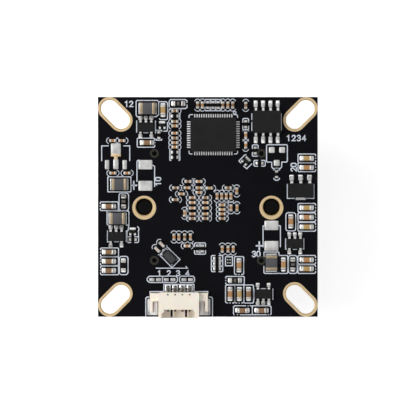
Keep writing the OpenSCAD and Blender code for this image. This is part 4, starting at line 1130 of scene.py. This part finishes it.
draw([
    # corner marks of the controller
    [(-2.6, 15.95), (-3.05, 15.95), (-3.25, 15.75), (-3.25, 15.45)],
    [(-3.25, 9.65), (-3.25, 9.35), (-3.05, 9.15), (-2.7, 9.15)],
    [(4.5, 15.95), (4.95, 15.95), (5.15, 15.75), (5.15, 15.45)],
    [(5.15, 9.65), (5.15, 9.35), (4.95, 9.15), (4.6, 9.15)],
    # round the upper inductor, the chip beside it and the bead
    [(-11.95, 15.55), (-12.2, 15.6), (-12.4, 15.85), (-12.4, 18.25), (-12.25, 18.4), (-8.7, 18.4),
     (-8.5, 18.2), (-8.5, 15.95), (-8.9, 15.62), (-9.3, 15.58)],
    [(-8.5, 18.18), (-7.2, 18.18), (-6.96, 17.95), (-6.96, 15.25), (-7.15, 15.08), (-8.2, 15.08),
     (-8.4, 15.25)],
    [(-3.6, 18.05), (-3.6, 18.35), (-3.85, 18.55), (-6.45, 18.55), (-6.68, 18.3), (-6.68, 17.3)],
    [(-3.6, 17.65), (-3.58, 17.2), (-3.85, 17), (-6.4, 17), (-6.65, 16.75)],
    # round the inductor by the western peg and the one in the east
    [(-17.25, -3.15), (-17.42, -2.95), (-17.42, -0.7), (-13.8, -0.7), (-13.65, -0.85),
     (-13.65, -3.0), (-13.85, -3.15), (-14.1, -3.15)], [(-13.65, -3.15), (-13.8, -4.1)],
    [(9.75, -9.2), (9.7, -7.9), (9.8, -7.8), (12.2, -7.8), (12.3, -7.9), (12.3, -11.35), (12.15, -11.5),
     (9.85, -11.5), (9.7, -11.35), (9.7, -10.3)],
    # round the chips above and below the socket's neighbour
    [(6.25, -13.5), (7.75, -13.5), (7.9, -13.65), (7.9, -16.5), (7.75, -16.63), (6.4, -16.63),
     (6.25, -16.4)],
    [(6.55, -17.1), (4.6, -17.1), (4.45, -17.3), (4.45, -18.45)], [(4.5, -18.65), (4.55, -18.65)],
    [(5.1, -18.65), (5.15, -18.65)], [(6.93, -17.13), (6.97, -17.13)],
    [(5.6, -18.65), (10.1, -18.65)], [(7.3, -17.05), (7.7, -17.25), (7.7, -18.6)],
    [(7.7, -17.1), (10.75, -17.1), (10.95, -17.3), (10.95, -18.5), (10.8, -18.65)],
    [(10.42, -18.65), (10.46, -18.65)],
])

# %% [markdown]
# Chips with leads have a line or a bracket beside each row of leads, because a frame
# would run across the solder.

# %% Strokes beside chips with leads
draw([
    # beside the memory chip
    [(7.6, 16.1), (7.6, 15.1)], [(7.6, 14.6), (7.6, 13.2)], [(12.68, 16.1), (12.68, 13.3)],
    # beside the regulators
    [(-12.3, 14.9), (-12.3, 12.9)], [(-11.1, 12.82), (-10.35, 12.82)],
    [(-17.35, -4.15), (-17.35, -6.05), (-17.1, -6.05)], [(-16.15, -6.03), (-15.4, -6.03)],
    [(-14.1, -4.15), (-14.1, -6)], [(-13.95, -4.15), (-13.95, -6)],
    [(13.45, -5.5), (13.45, -7.3), (13.6, -7.3)], [(16.6, -5.5), (16.6, -7.3), (16.45, -7.3)],
    [(14.75, -7.35), (15.35, -7.35)], [(8, -14.2), (8, -16)], [(11.25, -14.2), (11.25, -16)],
    [(9.2, -14.15), (10, -14.15)],
    # beside the linear regulator
    [(13.75, 3.9), (13.75, 1.48), (15, 1.48)], [(17, 1.48), (18.35, 1.48), (18.35, 3.9)],
])

# %% [markdown]
# The empty places keep their printed marks, which say what would stand there. The
# crystal, the row of numbers and the socket have outlines of their own, and the
# socket's has steps, because it goes round its nails, its body and its contacts.

# %% Strokes at empty places, the crystal and the socket
draw([
    # the empty place for a linear regulator
    [(-17.2, 10.55), (-18.35, 10.55), (-18.35, 8)], [(-14.55, 10.55), (-13.5, 10.55), (-13.5, 8)],
    # the empty place for a transistor, with its neck
    [(11.05, 7.75), (10.3, 7.75), (10.15, 7.9), (10.15, 10.6), (10.3, 10.75), (13.6, 10.75),
     (13.75, 10.6), (13.75, 7.9), (13.6, 7.75), (12.8, 7.75), (12.75, 6.9), (12.55, 6.65),
     (11.25, 6.65), (11.05, 6.9), (11.05, 7.75)],
    # the empty places for polarised capacitors
    [(-11.9, 8.1), (-12.25, 7.9), (-12.25, 4.4)], [(-9.5, 7.2), (-9.2, 7), (-9.2, 3.55)],
    [(9.9, -3.2), (9.55, -3.3), (9.55, -6.9)], [(12.2, -3.2), (12.55, -3.3), (12.55, -6.9)],
    # the crystal
    [(-8.35, -8.3), (-7, -6.95), (-4.8, -9.1), (-6.2, -10.5), (-8.35, -8.3)],
    # the arrow over the row of numbers
    [(-8.9, -10.6), (-3.52, -10.6), (-3.8, -10.32)],
    # round the socket
    [(-7.6, -14.65), (-7.6, -13.4), (-2.4, -13.4), (-2.4, -14.65)],
    [(-10, -15), (-10, -14.65), (-7.6, -14.65)], [(-2.4, -14.65), (0, -14.65), (0, -15)],
    [(-10.72, -18.9), (-10.72, -15.8), (-10.52, -15.58), (-10.2, -15.58)],
    [(0.25, -15.58), (0.6, -15.58), (0.8, -15.8), (0.8, -18.9)],
    # the empty places for small chips
    [(-7.8, -11.98), (-10.1, -11.98), (-10.5, -12.35), (-10.5, -12.7), (-10.1, -13.08), (-7.8, -13.08)],
    [(-7.7, -11.98), (-5.5, -11.98), (-5.25, -12.3), (-5.25, -12.8), (-5.5, -13.08), (-7.7, -13.08),
     (-7.85, -12.9), (-7.85, -12.3), (-7.7, -11.98)],
    [(-4.7, -11.98), (-2.5, -11.98), (-2.3, -12.3), (-2.3, -12.8), (-2.5, -13.08), (-4.7, -13.08),
     (-4.9, -12.9), (-4.9, -12.3), (-4.7, -11.98)],
    # round the slanting transistor
    [(6.6, 9.0), (6.4, 9.0), (5.38, 7.95), (5.7, 7.6)], [(6.2, 7.05), (6.72, 6.6), (7.6, 7.45)],
    # the tiny four-ball place
    [(3.05, -8.62), (4.25, -8.62), (4.25, -10.18), (3.05, -10.18), (3.05, -8.62)],
    # beside the small transistors
    [(-9.05, 14.85), (-9.05, 12.75)], [(-6.98, 14.6), (-6.98, 13.3), (-7.1, 13.1), (-7.6, 13.1)],
    [(-12.13, -3.4), (-11.92, -3.75), (-11.95, -4.1), (-12.1, -4.25)], [(-11.98, -4.35), (-11.98, -5.2)],
])

# %% [markdown]
# Two plus signs show which way round a polarised capacitor goes, and are pressed with
# more ink than the other lines. A small ring marks the controller's first terminal.

# %% Plus signs and the first terminal's ring
PLUS_PEN, RING_PEN, RING_RADIUS = 0.13, 0.07, 0.23
for x, y in ((-12.8, 3.73), (8.9, -6.73)):
    ink.add(stroke([(0, -0.68), (0, 0.68)], pen=PLUS_PEN), x, y)
    ink.add(stroke([(-0.5, 0), (0.5, 0)], pen=PLUS_PEN), x, y)
circle = [(RING_RADIUS * math.cos(math.radians(a)), RING_RADIUS * math.sin(math.radians(a)))
          for a in range(0, 360, 30)]
ink.add(stroke(circle, closed=True, pen=RING_PEN), 4.65, 16.3)
print("faces so far", len(ink.faces))

# %% [markdown]
# The only lettering is plain digits. A text object would bring a typeface whose lines
# vary in width, so each digit is one stroke in a cell, and a label is a row of cells,
# turned where it reads up the board.

# %% Digits
DIGIT_PEN = 0.1
DIGITS = {
    "1": [(0.05, 0.7), (0.28, 0.92), (0.28, 0)],
    "2": [(0, 0.7), (0.12, 0.9), (0.42, 0.9), (0.54, 0.7), (0.46, 0.48), (0, 0), (0.56, 0)],
    "3": [(0, 0.78), (0.14, 0.9), (0.42, 0.9), (0.54, 0.7), (0.42, 0.48), (0.2, 0.47),
          (0.42, 0.45), (0.55, 0.22), (0.42, 0), (0.12, 0), (0, 0.12)],
    "4": [(0.42, 0), (0.42, 0.9), (0, 0.28), (0.58, 0.28)],
    "0": [(0.14, 0), (0.42, 0), (0.55, 0.2), (0.55, 0.7), (0.42, 0.9), (0.14, 0.9), (0, 0.7),
          (0, 0.2), (0.14, 0)],
}


def label(text, x, y, turn=0, step=0.78, size=1):
    """A row of digits that starts at x and y."""
    for i, digit in enumerate(text):
        points = [(size * (px + i * step), size * py) for px, py in DIGITS[digit]]
        ink.add(stroke(points, pen=DIGIT_PEN), x, y, turn)


for i in range(4):
    label(str(i + 1), -8.6 + 1.6 * i, -11.9, size=0.95)
label("12", -14.3, 17.35)
label("1234", 13.7, 11.45, step=0.88)
label("20", 15.3, 6.2, turn=90)
label("10", -8.15, 3.75, turn=90)
label("30", 7.7, -8.6)
ink.build("printed_legend", crease=25)
